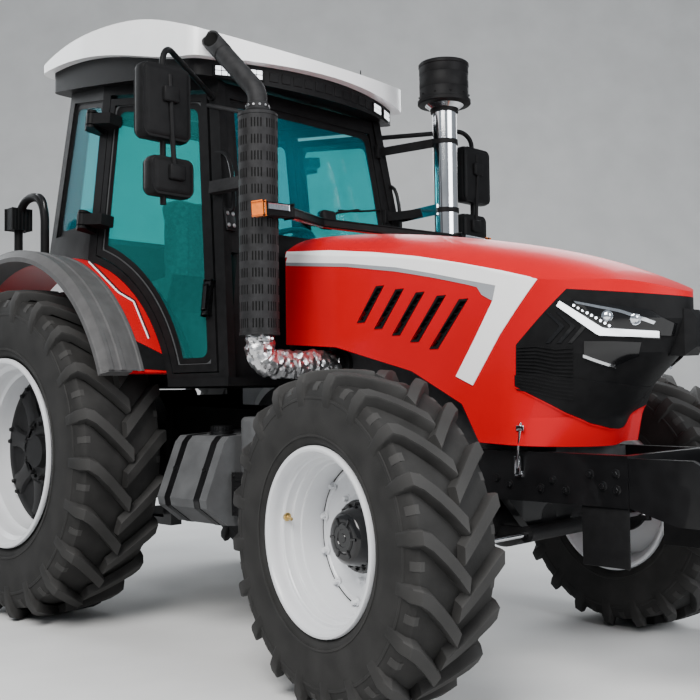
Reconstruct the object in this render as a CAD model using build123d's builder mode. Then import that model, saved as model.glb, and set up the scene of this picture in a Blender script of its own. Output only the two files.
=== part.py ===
from build123d import *
import os
from math import atan2, cos, degrees, pi, radians, sin, sqrt, tan

os.makedirs("parts", exist_ok=True)

# Four-wheel-drive farm tractor with a closed cab.
# Millimetres. +X is forward, +Y is the driver's left, +Z is up, and the ground is Z = 0.
# X = 0 lies midway between the axles and midway between the front carrier and the link ends.

# General clearances
RUNNING_GAP = 0.5
SWING_GAP = 6.0

# Axles and wheels
WHEELBASE = 2500.0
FRONT_AXLE_X = WHEELBASE / 2
REAR_AXLE_X = -WHEELBASE / 2
FRONT_TYRE_R = 640.0
FRONT_TYRE_W = 390.0
FRONT_HALF_TRACK = 980.0
FRONT_RIM_R = 355.0
FRONT_RIM_W = 360.0
REAR_TYRE_R = 890.0
REAR_TYRE_W = 490.0
REAR_HALF_TRACK = 940.0
REAR_RIM_R = 510.0
REAR_RIM_W = 470.0
LUG_HEIGHT = 42.0
LUG_W = 62.0
LUG_FLANK = 7.0
LUG_SINK = 18.0
LUG_LAY = 44.0
LUG_OVERLAP = 14.0
FRONT_LUGS = 20
REAR_LUGS = 22
TYRE_FACETS = 36
SHOULDER_IN = 27.0
BEAD_RISE = 23.0
RIM_FLANGE_T = 14.0
RIM_FLANGE_H = 26.0
RIM_WALL = 10.0
RIM_SLANT = 4.0
RIM_SEAT_W = 62.0
RIM_WELL_DROP = 34.0
BEAD_INSET = 34.0
DISC_T = 14.0
FRONT_DISC_IN = 50.0
REAR_DISC_IN = 30.0
FRONT_HUB_R = 118.0
REAR_HUB_R = 170.0
HUB_CAP_REACH = 103.0
REAR_HUB_REACH = 76.0

# Steering
KINGPIN_Y = 740.0
STEER_REST = -9.6
BOSS_R = 46.0
BOSS_HALF_H = 104.0
FORK_T = 36.0
FORK_DEPTH = 60.0
FORK_WALL_IN = 53.0
FORK_WALL_OUT = 88.0
SPINDLE_R = 100.0
ARM_REACH = 230.0
ARM_OUT = 66.0
ARM_T = 26.0
ARM_W = 44.0
ARM_DROP = 60.0
ROD_R = 16.0
ROD_EYE_R = 26.0
ROD_EYE_T = 24.0
CYLINDER_R = 34.0
CYLINDER_HALF_L = 230.0
BARREL_BRACKET_Y = 196.0
BARREL_BRACKET_T = 28.0
BARREL_BRACKET_H = 50.0

# Running gear under the hood and the cab
FRAME_HALF_W = 340.0
RAIL_T = 40.0
RAIL_LOW_Z = FRONT_TYRE_R + 105.0
RAIL_TOP_Z = RAIL_LOW_Z + 205.0
RAIL_REAR_X = REAR_AXLE_X + 1580.0
RAIL_FRONT_X = FRONT_AXLE_X + 760.0
AXLE_TUBE_R = 82.0
DIFF_R = 138.0
TRUNNION_R = 58.0
TRUNNION_REACH = 188.0
BRACKET_T = 44.0
ENGINE_HALF_W = 240.0
ENGINE_TOP_Z = 1560.0
ENGINE_FRONT_X = FRONT_AXLE_X + 170.0
ENGINE_LOW_Z = FRONT_TYRE_R + 140.0
COOLER_X = FRONT_AXLE_X + 325.0
COOLER_T = 140.0
COOLER_HALF_W = 250.0
COOLER_TOP_Z = 1450.0
GEARBOX_HALF_W = 240.0
GEARBOX_LOW_Z = 640.0
GEARBOX_TOP_Z = 1130.0
AXLE_CASE_HALF_W = 290.0
AXLE_CASE_HALF_L = 250.0
AXLE_CASE_TOP_Z = 1190.0
TRUMPET_END_Y = 690.0
TRUMPET_R = 190.0
TRUMPET_END_R = 135.0
AXLE_SHAFT_R = 62.0
AXLE_SHAFT_L = 80.0
MOUNT_POST_R = 55.0
CAB_POST_X = REAR_AXLE_X + 1270.0
DRIVE_SHAFT_R = 38.0

# Hood
HOOD_HALF_W = 400.0
HOOD_REAR_X = REAR_AXLE_X + 1440.0
HOOD_WALL = 24.0

# Cab
FLOOR_LOW_Z = 1230.0
FLOOR_T = 40.0
CAB_WALL = 50.0
DOOR_T = 42.0
GLASS_T = 8.0
SIDE_REF_Y = 670.0
SIDE_SLOPE_X = 0.137
SIDE_SLOPE_Z = 0.108
QUARTER_SLOPE_X = -0.084
SIDE_REF_X = REAR_AXLE_X + 1280.0
SIDE_REF_Z = 2000.0
PILLAR_B_X = REAR_AXLE_X + 310.0
PILLAR_RAKE = 0.155
DOOR_FRONT_X = REAR_AXLE_X + 1320.0
DOOR_LOW_Z = 1300.0
PILLAR_A_W = 75.0
PILLAR_B_W = 70.0
RAIL_Z0 = 2775.0
RAIL_SLOPE = 0.155
RAIL_DEPTH = 75.0
DOOR_BORDER = 38.0
DOOR_LEAD = 8.0
DOOR_HEAD = 16.0
CAB_REAR_X = REAR_AXLE_X - 250.0
SCREEN_LOW_Z = 1985.0
SCREEN_TOP_Z = 2705.0
SCREEN_HALF_LOW = 555.0
SCREEN_HALF_TOP = 520.0
INNER_WALL_Y = 640.0
HINGE_OUT = 110.0

# Fenders
FENDER_R = REAR_TYRE_R + 150.0
FENDER_Z = REAR_TYRE_R + 40.0
FENDER_T = 26.0
FENDER_SPLIT_Y = 990.0
FLARE_OUT_Y = 1150.0
FLARE_T = 46.0
FENDER_FRONT_DEG = 21.0
FENDER_REAR_DEG = 152.0

# Roof
ROOF_HALF_W = 800.0
ROOF_BASE_IN = 46.0

# Stacks
STACK_Y = 715.0
STACK_X = HOOD_REAR_X + 168.0
SHIELD_R = 92.0
SHIELD_LOW_Z = 1460.0
SHIELD_TOP_Z = 2490.0
PIPE_R = 46.0
INTAKE_R = 68.0
CLEANER_R = 138.0
CLEANER_H = 215.0

# Front carrier and rear hitch
CARRIER_FRONT_X = RAIL_FRONT_X + 370.0
CARRIER_HALF_W = 330.0
CARRIER_T = 24.0
LINK_END_X = REAR_AXLE_X - 1090.0
LINK_PIVOT_X = REAR_AXLE_X - 330.0
LINK_PIVOT_Z = 590.0
LINK_HALF_Y = 400.0
LINK_EYE_R = 40.0
LINK_BORE_R = 18.6
LIFT_PIVOT_Z = 1180.0
LIFT_ARM = 380.0
LINK_T = 30.0


def save(part, name):
    part.label = name
    export_step(part, f"parts/{name}.step")


def axial_plane(origin, outward):
    # Local X runs along the axle away from the tractor, local Y is up.
    up = Vector(0, 0, 1)
    return Plane(origin=origin, x_dir=outward, z_dir=outward.cross(up))


def steered_outward(side):
    turn = radians(STEER_REST)
    return Vector(-side * sin(turn), side * cos(turn), 0)


def kingpin(side):
    return Vector(FRONT_AXLE_X, side * KINGPIN_Y, FRONT_TYRE_R)


def front_wheel_plane(side):
    outward = steered_outward(side)
    reach = FRONT_HALF_TRACK - KINGPIN_Y
    return axial_plane(kingpin(side) + outward * reach, outward)


def rear_wheel_plane(side):
    return axial_plane(Vector(REAR_AXLE_X, side * REAR_HALF_TRACK, REAR_TYRE_R), Vector(0, side, 0))


def axle_of(plane):
    return Axis(plane.origin, plane.x_dir)


# Wheels: tyre with its lugs, rim with its disc, and hub
def lug_planes(plane, half, radius, width, count):
    # Seats of the lugs on one half of the tread. Local X runs to the shoulder, trailing as the wheel rolls ahead.
    out = plane.x_dir * half
    up = plane.y_dir
    ahead = plane.z_dir if plane.z_dir.X > 0 else plane.z_dir * -1
    lay = radians(LUG_LAY)
    seats = []
    for step in range(count):
        turn = 2 * pi * (step + (0 if half > 0 else 0.5)) / count
        radial = up * cos(turn) + ahead * sin(turn)
        tangent = ahead * cos(turn) - up * sin(turn)
        mid = plane.origin + out * ((width / 2 - SHOULDER_IN - LUG_OVERLAP) / 2)
        foot = mid + radial * (radius - LUG_HEIGHT - LUG_SINK)
        seats.append(Plane(origin=foot, x_dir=out * cos(lay) - tangent * sin(lay), z_dir=radial))
    return seats


def lug_bar(radius, shoulder, hand):
    # One lug of the left or right hand, its ends cut square to the axle and its far corners on the tyre's radius.
    lay = radians(LUG_LAY)
    run = (shoulder + LUG_OVERLAP) / cos(lay)
    skew = hand * LUG_W / 2 * tan(lay)
    corner = run / 2 * sin(lay) + (LUG_W / 2 - LUG_FLANK) / cos(lay) - LUG_FLANK * tan(lay)
    rise = sqrt(radius**2 - corner**2) - radius + LUG_HEIGHT + LUG_SINK
    with BuildPart() as lug:
        with BuildSketch():
            with BuildLine():
                Polyline(
                    (-run / 2 + skew, LUG_W / 2),
                    (-run / 2 - skew, -LUG_W / 2),
                    (run / 2 - skew, -LUG_W / 2),
                    (run / 2 + skew, LUG_W / 2),
                    close=True,
                )
            make_face()
        extrude(amount=rise, taper=degrees(atan2(LUG_FLANK, rise)))
    return lug.part


def tyre(plane, radius, width, rim_r, rim_w, count):
    bead = rim_w / 2 - BEAD_INSET
    seat = rim_r - RIM_FLANGE_H
    belly = rim_r + (radius - rim_r) / 2
    shoulder = width / 2 - SHOULDER_IN
    base = radius - LUG_HEIGHT
    lugs = {hand: lug_bar(radius, shoulder, hand) for hand in (1, -1)}
    with BuildPart() as ring:
        for x, r in (
            (-bead, seat + BEAD_RISE),
            (-width / 2, belly),
            (-shoulder, base),
            (shoulder, base),
            (width / 2, belly),
            (bead, seat + BEAD_RISE),
        ):
            with BuildSketch(Plane(origin=plane.origin + plane.x_dir * x, x_dir=plane.y_dir, z_dir=plane.x_dir)):
                RegularPolygon(r, TYRE_FACETS)
        loft(ruled=True)
        for half in (1, -1):
            hand = half if plane.z_dir.X > 0 else -half
            with Locations(*lug_planes(plane, half, radius, width, count)):
                add(lugs[hand])
        with BuildSketch(Plane(origin=plane.origin - plane.x_dir * bead, x_dir=plane.y_dir, z_dir=plane.x_dir)):
            RegularPolygon(seat / cos(pi / TYRE_FACETS), TYRE_FACETS)
        extrude(amount=2 * bead, mode=Mode.SUBTRACT)
    return ring.part


def rim(plane, rim_r, rim_w, disc_x, disc_r):
    edge = rim_w / 2
    seat = rim_r - RIM_FLANGE_H
    well = seat - RIM_WELL_DROP
    seat_x = edge - RIM_SEAT_W
    well_x = seat_x - RIM_WELL_DROP
    with BuildPart() as wheel:
        with BuildSketch(plane):
            with BuildLine():
                Polyline(
                    (-edge, rim_r),
                    (-edge + RIM_FLANGE_T, rim_r),
                    (-edge + RIM_FLANGE_T, seat),
                    (-seat_x, seat),
                    (-well_x, well),
                    (well_x, well),
                    (seat_x, seat),
                    (edge - RIM_FLANGE_T, seat),
                    (edge - RIM_FLANGE_T, rim_r),
                    (edge, rim_r),
                    (edge, seat - RIM_WALL),
                    (seat_x + RIM_SLANT, seat - RIM_WALL),
                    (well_x + RIM_SLANT, well - RIM_WALL),
                    (-well_x - RIM_SLANT, well - RIM_WALL),
                    (-seat_x - RIM_SLANT, seat - RIM_WALL),
                    (-edge, seat - RIM_WALL),
                    close=True,
                )
            make_face()
        revolve(axis=axle_of(plane))
        with BuildSketch(plane):
            with BuildLine():
                Polyline(
                    (disc_x - DISC_T, disc_r),
                    (disc_x, disc_r),
                    (disc_x, well - RIM_WALL / 2),
                    (disc_x - DISC_T, well - RIM_WALL / 2),
                    close=True,
                )
            make_face()
        revolve(axis=axle_of(plane))
    return wheel.part


def front_hub(plane):
    # Planetary hub: drum, bolted carrier and end cap.
    inner = KINGPIN_Y + FORK_WALL_OUT + SWING_GAP - FRONT_HALF_TRACK
    disc_x = -FRONT_DISC_IN
    cap = disc_x + HUB_CAP_REACH
    with BuildPart() as hub:
        with BuildSketch(plane):
            with BuildLine():
                Polyline(
                    (inner, 0),
                    (inner, FRONT_HUB_R - 20),
                    (disc_x - DISC_T - 24, FRONT_HUB_R - 20),
                    (disc_x - DISC_T - 24, FRONT_HUB_R + 52),
                    (disc_x - DISC_T, FRONT_HUB_R + 52),
                    (disc_x - DISC_T, FRONT_HUB_R),
                    (disc_x + 22, FRONT_HUB_R),
                    (disc_x + 40, FRONT_HUB_R - 12),
                    (cap - 36, FRONT_HUB_R - 18),
                    (cap - 24, 74),
                    (cap, 62),
                    (cap, 0),
                    close=True,
                )
            make_face()
        revolve(axis=axle_of(plane))
    return hub.part


def rear_hub(plane, disc_r):
    # Axle flange with the cast centre that carries the rim.
    inner = TRUMPET_END_Y + SWING_GAP - REAR_HALF_TRACK
    disc_x = -REAR_DISC_IN
    with BuildPart() as hub:
        with BuildSketch(plane):
            with BuildLine():
                Polyline(
                    (inner - AXLE_SHAFT_L, 0),
                    (inner - AXLE_SHAFT_L, AXLE_SHAFT_R),
                    (inner, AXLE_SHAFT_R),
                    (inner, TRUMPET_END_R - 45),
                    (disc_x - 70, TRUMPET_END_R - 45),
                    (disc_x - 46, REAR_HUB_R),
                    (disc_x - DISC_T - 26, disc_r - 36),
                    (disc_x - DISC_T - 26, disc_r + 58),
                    (disc_x - DISC_T, disc_r + 58),
                    (disc_x - DISC_T, disc_r),
                    (disc_x, disc_r),
                    (disc_x, REAR_HUB_R + 30),
                    (disc_x + 34, REAR_HUB_R - 30),
                    (disc_x + 34, 96),
                    (disc_x + REAR_HUB_REACH, 88),
                    (disc_x + REAR_HUB_REACH, 0),
                    close=True,
                )
            make_face()
        revolve(axis=axle_of(plane))
    return hub.part


FRONT_DISC_R = FRONT_HUB_R + RUNNING_GAP
REAR_DISC_R = 300.0

for side, hand in ((1, "left"), (-1, "right")):
    front = front_wheel_plane(side)
    rear = rear_wheel_plane(side)
    front_tyre = tyre(front, FRONT_TYRE_R, FRONT_TYRE_W, FRONT_RIM_R, FRONT_RIM_W, FRONT_LUGS)
    rear_tyre = tyre(rear, REAR_TYRE_R, REAR_TYRE_W, REAR_RIM_R, REAR_RIM_W, REAR_LUGS)
    save(front_tyre, f"front_tyre_{hand}")
    save(rear_tyre, f"rear_tyre_{hand}")
    save(rim(front, FRONT_RIM_R, FRONT_RIM_W, -FRONT_DISC_IN, FRONT_DISC_R), f"front_rim_{hand}")
    save(rim(rear, REAR_RIM_R, REAR_RIM_W, -REAR_DISC_IN, REAR_DISC_R + RUNNING_GAP), f"rear_rim_{hand}")
    save(front_hub(front), f"front_hub_{hand}")
    save(rear_hub(rear, REAR_DISC_R), f"rear_hub_{hand}")


# Steering knuckles: a fork round the beam's end, a spindle flange and a steering arm
def heading_of(side):
    return Vector(0, 0, 1).cross(steered_outward(side)) * -side


def steering_eye(side):
    reach = steered_outward(side) * ARM_OUT + heading_of(side) * ARM_REACH
    return kingpin(side) + reach + Vector(0, 0, -ARM_DROP)


def knuckle(side):
    outward = steered_outward(side)
    heading = heading_of(side)
    plane = axial_plane(kingpin(side), outward)
    top = BOSS_HALF_H + SWING_GAP
    inner = -BOSS_R - 18
    arm_l = ARM_REACH - FORK_DEPTH + 20
    with BuildPart() as fork:
        with BuildSketch(plane):
            with BuildLine():
                Polyline(
                    (inner, top),
                    (FORK_WALL_IN, top),
                    (FORK_WALL_IN, -top),
                    (inner, -top),
                    (inner, -top - FORK_T),
                    (FORK_WALL_OUT, -top - FORK_T),
                    (FORK_WALL_OUT, top + FORK_T),
                    (inner, top + FORK_T),
                    close=True,
                )
            make_face()
        extrude(amount=FORK_DEPTH, both=True)
        for end in (1, -1):
            seat = kingpin(side) + Vector(0, 0, end * (BOSS_HALF_H + RUNNING_GAP))
            with BuildSketch(Plane(origin=seat, x_dir=heading, z_dir=(0, 0, end))):
                Circle(BOSS_R - 8)
            extrude(amount=FORK_T + SWING_GAP + 22)
        flange = plane.origin + outward * FORK_WALL_IN
        with BuildSketch(Plane(origin=flange, x_dir=heading, z_dir=outward)):
            Circle(SPINDLE_R - 14)
        extrude(amount=FORK_WALL_OUT - FORK_WALL_IN + SWING_GAP - RUNNING_GAP)
        with BuildSketch(Plane(origin=steering_eye(side), x_dir=heading, z_dir=(0, 0, 1))):
            Circle(ARM_W / 2)
            with Locations((-arm_l / 2, 0)):
                Rectangle(arm_l, ARM_W)
            Circle(ROD_R, mode=Mode.SUBTRACT)
        extrude(amount=-ARM_T)
    return fork.part


for side, hand in ((1, "left"), (-1, "right")):
    save(knuckle(side), f"knuckle_{hand}")

ROD_X = (steering_eye(1).X + steering_eye(-1).X) / 2
ROD_Z = steering_eye(1).Z + RUNNING_GAP + ROD_EYE_T / 2

# Piston rod of the steering cylinder, with an eye over each steering arm
with BuildPart() as steering_rod:
    for side in (1, -1):
        eye_y = steering_eye(side).Y
        with BuildSketch(Plane(origin=(ROD_X, eye_y, ROD_Z - ROD_EYE_T / 2), z_dir=(0, 0, 1))):
            Circle(ROD_EYE_R)
        extrude(amount=ROD_EYE_T)
    rod_l = steering_eye(1).Y - steering_eye(-1).Y - ROD_EYE_R
    rod_y = (steering_eye(1).Y + steering_eye(-1).Y) / 2
    with BuildSketch(Plane(origin=(ROD_X, rod_y, ROD_Z), z_dir=(0, 1, 0))):
        Circle(ROD_R - 5)
    extrude(amount=rod_l / 2, both=True)
save(steering_rod.part, "steering_rod")

# Front axle beam with its differential, trunnions, end bosses and steering cylinder barrel
with BuildPart() as front_axle:
    centre = Vector(FRONT_AXLE_X, 0, FRONT_TYRE_R)
    tube_end = KINGPIN_Y - 72
    with BuildSketch(axial_plane(centre, Vector(0, 1, 0))):
        with BuildLine():
            Polyline(
                (0, 0),
                (0, DIFF_R),
                (80, DIFF_R),
                (190, AXLE_TUBE_R + 12),
                (tube_end - 150, AXLE_TUBE_R - 10),
                (tube_end - 60, AXLE_TUBE_R),
                (tube_end, AXLE_TUBE_R),
                (tube_end, 0),
                close=True,
            )
        make_face()
    revolve(axis=Axis(centre, (0, 1, 0)))
    with BuildSketch(Plane(origin=(FRONT_AXLE_X, KINGPIN_Y, FRONT_TYRE_R - BOSS_HALF_H))):
        Circle(BOSS_R)
    extrude(amount=2 * BOSS_HALF_H)
    with BuildSketch(Plane(origin=(FRONT_AXLE_X, tube_end - 4, FRONT_TYRE_R), x_dir=(1, 0, 0), z_dir=(0, 1, 0))):
        Rectangle(76, 150)
    extrude(amount=KINGPIN_Y - tube_end)
    with BuildSketch(Plane(origin=(ROD_X, BARREL_BRACKET_Y, ROD_Z), x_dir=(1, 0, 0), z_dir=(0, 1, 0))):
        with Locations(((FRONT_AXLE_X - ROD_X) / 2, 0)):
            Rectangle(ROD_X - FRONT_AXLE_X, BARREL_BRACKET_H)
    extrude(amount=BARREL_BRACKET_T)
    mirror(about=Plane.XZ)
    with BuildSketch(Plane(origin=centre, z_dir=(1, 0, 0))):
        Circle(TRUNNION_R)
    extrude(amount=TRUNNION_REACH, both=True)
    with BuildSketch(Plane(origin=(ROD_X, 0, ROD_Z), z_dir=(0, 1, 0))):
        Circle(CYLINDER_R)
    extrude(amount=CYLINDER_HALF_L, both=True)
    with BuildSketch(Plane(origin=(ROD_X, 0, ROD_Z), z_dir=(0, 1, 0))):
        Circle(ROD_R - 5 + RUNNING_GAP)
    extrude(amount=CYLINDER_HALF_L, both=True, mode=Mode.SUBTRACT)
save(front_axle.part, "front_axle_beam")

# Front frame: two side rails, trunnion brackets and a nose plate
with BuildPart() as front_frame:
    for y in (FRAME_HALF_W - RAIL_T / 2, RAIL_T / 2 - FRAME_HALF_W):
        with BuildSketch(Plane.XZ.offset(-y)):
            with BuildLine():
                Polyline(
                    (RAIL_REAR_X, RAIL_LOW_Z + 40),
                    (FRONT_AXLE_X - TRUNNION_REACH - 160, RAIL_LOW_Z + 40),
                    (FRONT_AXLE_X - TRUNNION_REACH, RAIL_LOW_Z),
                    (RAIL_FRONT_X, RAIL_LOW_Z),
                    (RAIL_FRONT_X, RAIL_TOP_Z - 10),
                    (RAIL_REAR_X + 620, RAIL_TOP_Z),
                    (RAIL_REAR_X, RAIL_TOP_Z + 90),
                    close=True,
                )
            make_face()
        extrude(amount=RAIL_T / 2, both=True)
    for x in (FRONT_AXLE_X - TRUNNION_REACH, FRONT_AXLE_X + TRUNNION_REACH - BRACKET_T):
        with BuildSketch(Plane(origin=(x, 0, FRONT_TYRE_R), x_dir=(0, 1, 0), z_dir=(1, 0, 0))):
            with BuildLine():
                Polyline(
                    (-FRAME_HALF_W + RAIL_T, RAIL_TOP_Z - 120 - FRONT_TYRE_R),
                    (FRAME_HALF_W - RAIL_T, RAIL_TOP_Z - 120 - FRONT_TYRE_R),
                    (FRAME_HALF_W - RAIL_T, RAIL_LOW_Z - FRONT_TYRE_R),
                    (TRUNNION_R + 34, -TRUNNION_R - 26),
                    (-TRUNNION_R - 34, -TRUNNION_R - 26),
                    (-FRAME_HALF_W + RAIL_T, RAIL_LOW_Z - FRONT_TYRE_R),
                    close=True,
                )
            make_face()
            Circle(TRUNNION_R + RUNNING_GAP, mode=Mode.SUBTRACT)
        extrude(amount=BRACKET_T)
    with BuildSketch(Plane(origin=(RAIL_FRONT_X, 0, RAIL_LOW_Z), x_dir=(0, 1, 0), z_dir=(1, 0, 0))):
        with Locations((0, (RAIL_TOP_Z - 10 - RAIL_LOW_Z) / 2)):
            Rectangle(2 * FRAME_HALF_W, RAIL_TOP_Z - 10 - RAIL_LOW_Z)
    extrude(amount=-34)
save(front_frame.part, "front_frame")

# Engine: one block with its sump, standing between the rails
with BuildPart() as engine:
    with BuildSketch(Plane.XZ):
        with BuildLine():
            Polyline(
                (RAIL_REAR_X, ENGINE_LOW_Z + 60),
                (RAIL_REAR_X + 160, ENGINE_LOW_Z),
                (ENGINE_FRONT_X - 400, ENGINE_LOW_Z),
                (ENGINE_FRONT_X - 370, ENGINE_LOW_Z + 80),
                (ENGINE_FRONT_X, ENGINE_LOW_Z + 80),
                (ENGINE_FRONT_X, ENGINE_TOP_Z - 120),
                (ENGINE_FRONT_X - 140, ENGINE_TOP_Z),
                (RAIL_REAR_X + 90, ENGINE_TOP_Z),
                (RAIL_REAR_X, ENGINE_TOP_Z - 90),
                close=True,
            )
        make_face()
    extrude(amount=ENGINE_HALF_W, both=True)
    for x in (RAIL_REAR_X + 120, ENGINE_FRONT_X - 200):
        with BuildSketch(Plane(origin=(x, 0, RAIL_TOP_Z - 90), z_dir=(0, 0, 1))):
            Rectangle(150, 2 * (FRAME_HALF_W - RAIL_T))
        extrude(amount=60)
save(engine.part, "engine_block")

# Cooler pack behind the grille, standing on the front frame
with BuildPart() as cooler:
    with BuildSketch(Plane(origin=(COOLER_X, 0, RAIL_TOP_Z - 8), z_dir=(0, 0, 1))):
        Rectangle(COOLER_T, 2 * COOLER_HALF_W)
    extrude(amount=COOLER_TOP_Z - RAIL_TOP_Z)
    with BuildSketch(Plane(origin=(COOLER_X - COOLER_T / 2, 0, 1220), z_dir=(-1, 0, 0))):
        Circle(250)
    extrude(amount=50)
    with BuildSketch(Plane(origin=(COOLER_X, 0, RAIL_TOP_Z - 8), z_dir=(0, 0, -1))):
        Rectangle(COOLER_T, 2 * (FRAME_HALF_W - RAIL_T))
    extrude(amount=90)
save(cooler.part, "cooler_pack")

# Clutch housing, gearbox and rear axle case
with BuildPart() as gearbox:
    case_front = REAR_AXLE_X + AXLE_CASE_HALF_L
    with BuildSketch(Plane.XZ):
        with BuildLine():
            Polyline(
                (RAIL_REAR_X, GEARBOX_LOW_Z + 110),
                (RAIL_REAR_X - 330, GEARBOX_LOW_Z + 60),
                (RAIL_REAR_X - 420, GEARBOX_LOW_Z),
                (case_front, GEARBOX_LOW_Z),
                (case_front, GEARBOX_TOP_Z),
                (RAIL_REAR_X - 420, GEARBOX_TOP_Z - 30),
                (RAIL_REAR_X, GEARBOX_TOP_Z),
                close=True,
            )
        make_face()
    extrude(amount=GEARBOX_HALF_W, both=True)
    with BuildSketch(Plane(origin=(RAIL_REAR_X, 0, 0), x_dir=(0, 1, 0), z_dir=(1, 0, 0))):
        with Locations((0, (GEARBOX_LOW_Z + GEARBOX_TOP_Z) / 2 + 60)):
            RectangleRounded(600, GEARBOX_TOP_Z - GEARBOX_LOW_Z - 80, 90)
    extrude(amount=-230)
    with BuildSketch(Plane.XZ):
        with BuildLine():
            Polyline(
                (case_front + 4, GEARBOX_LOW_Z - 20),
                (REAR_AXLE_X - AXLE_CASE_HALF_L, GEARBOX_LOW_Z + 20),
                (REAR_AXLE_X - AXLE_CASE_HALF_L, AXLE_CASE_TOP_Z - 60),
                (REAR_AXLE_X - AXLE_CASE_HALF_L + 90, AXLE_CASE_TOP_Z),
                (case_front - 60, AXLE_CASE_TOP_Z),
                (case_front + 4, AXLE_CASE_TOP_Z - 70),
                close=True,
            )
        make_face()
    extrude(amount=AXLE_CASE_HALF_W, both=True)
    for y in (-210, 210):
        with BuildSketch(Plane(origin=(CAB_POST_X, y, GEARBOX_TOP_Z - 60), z_dir=(0, 0, 1))):
            Circle(MOUNT_POST_R)
        extrude(amount=FLOOR_LOW_Z - GEARBOX_TOP_Z + 60)
save(gearbox.part, "gearbox_housing")

# Rear axle trumpets with the posts that carry the cab
with BuildPart() as trumpets:
    axle = Vector(REAR_AXLE_X, 0, REAR_TYRE_R)
    with BuildSketch(axial_plane(axle, Vector(0, 1, 0))):
        with BuildLine():
            Polyline(
                (AXLE_CASE_HALF_W, 0),
                (AXLE_CASE_HALF_W, TRUMPET_R + 20),
                (AXLE_CASE_HALF_W + 36, TRUMPET_R + 20),
                (AXLE_CASE_HALF_W + 36, TRUMPET_R),
                (TRUMPET_END_Y - 60, TRUMPET_END_R - 10),
                (TRUMPET_END_Y - 60, TRUMPET_END_R),
                (TRUMPET_END_Y, TRUMPET_END_R),
                (TRUMPET_END_Y, AXLE_SHAFT_R + RUNNING_GAP),
                (TRUMPET_END_Y - AXLE_SHAFT_L, AXLE_SHAFT_R + RUNNING_GAP),
                (TRUMPET_END_Y - AXLE_SHAFT_L, 0),
                close=True,
            )
        make_face()
    revolve(axis=Axis(axle, (0, 1, 0)))
    with BuildSketch(Plane(origin=(REAR_AXLE_X, 430, REAR_TYRE_R), z_dir=(0, 0, 1))):
        Circle(MOUNT_POST_R)
    extrude(amount=FLOOR_LOW_Z - REAR_TYRE_R)
    mirror(about=Plane.XZ)
save(trumpets.part, "rear_axle_trumpets")

# Shaft that drives the front axle, with its drop housing under the gearbox
DRIVE_SHAFT_Z = 600.0
DROP_HALF_W = 80.0
DROP_LOW_Z = 520.0
DROP_L = 170.0
with BuildPart() as drive_shaft:
    shaft_rear = RAIL_REAR_X - 420
    with BuildSketch(Plane(origin=(shaft_rear, 0, DRIVE_SHAFT_Z), x_dir=(0, 1, 0), z_dir=(1, 0, 0))):
        Circle(DRIVE_SHAFT_R)
    extrude(amount=FRONT_AXLE_X - TRUNNION_REACH - shaft_rear)
    with BuildSketch(Plane(origin=(shaft_rear, 0, DROP_LOW_Z), x_dir=(0, 1, 0), z_dir=(1, 0, 0))):
        with Locations((0, (GEARBOX_LOW_Z - DROP_LOW_Z) / 2)):
            Rectangle(2 * DROP_HALF_W, GEARBOX_LOW_Z - DROP_LOW_Z)
    extrude(amount=-DROP_L)
save(drive_shaft.part, "front_drive_shaft")

# Hood stations: X, height of the side crease, height of the crown
HOOD_STATIONS = (
    (HOOD_REAR_X, 1892.0, 2000.0),
    (720.0, 1818.0, 1955.0),
    (1250.0, 1732.0, 1862.0),
    (1790.0, 1580.0, 1716.0),
    (2140.0, 1475.0, 1550.0),
)
NOSE_START_X = FRONT_AXLE_X + 230.0
NOSE_X = FRONT_AXLE_X + 860.0
HOOD_BASE_Z = 860.0
HOOD_CUT_Z = 2160.0
# Undercut of the nose: height, and how far its tip draws back there
NOSE_LEVELS = (
    (HOOD_BASE_Z - 10.0, 390.0),
    (1080.0, 310.0),
    (1330.0, 55.0),
    (1460.0, 0.0),
    (HOOD_CUT_Z, 0.0),
)
HINGE_PIN_X = 230.0
HINGE_PIN_Z = 1908.0
HINGE_PIN_R = 12.0
HINGE_EYE_R = 24.0
HINGE_Y = 190.0


def nose_plan(half, reach, inset):
    # Plan of the hood with its rounded nose.
    mid_x = NOSE_START_X + reach * 0.68
    mid_y = half * sqrt(1 - 0.68**2)
    rear = HOOD_REAR_X - inset - 10
    Spline(
        (NOSE_START_X, -half),
        (mid_x, -mid_y),
        (NOSE_START_X + reach, 0),
        (mid_x, mid_y),
        (NOSE_START_X, half),
        tangents=((1, 0), (-1, 0)),
    )
    Polyline((NOSE_START_X, half), (rear, half), (rear, -half), (NOSE_START_X, -half))


def hood_core(inset):
    # Full body of the hood, drawn in by an even amount for its inside.
    half = HOOD_HALF_W - inset
    with BuildPart() as core:
        for x, crease, crown in HOOD_STATIONS:
            at = x - (inset if x == HOOD_REAR_X else 0)
            low = crease - 0.7 * inset
            high = crown - inset
            with BuildSketch(Plane(origin=(at, 0, 0), x_dir=(0, 1, 0), z_dir=(1, 0, 0))):
                with BuildLine():
                    Line((-half, HOOD_BASE_Z), (-half, low))
                    Spline(
                        (-half, low),
                        (-0.62 * half, low + 0.72 * (high - low)),
                        (0, high),
                        (0.62 * half, low + 0.72 * (high - low)),
                        (half, low),
                    )
                    Polyline((half, low), (half, HOOD_BASE_Z), (-half, HOOD_BASE_Z))
                make_face()
        loft()
        for z, back in NOSE_LEVELS:
            with BuildSketch(Plane.XY.offset(z)):
                with BuildLine():
                    nose_plan(half, NOSE_X - NOSE_START_X - back - inset, inset)
                make_face()
        loft(ruled=True, mode=Mode.INTERSECT)
    return core.part


hood_outer = hood_core(0)
hood_inner = hood_core(HOOD_WALL)

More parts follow.
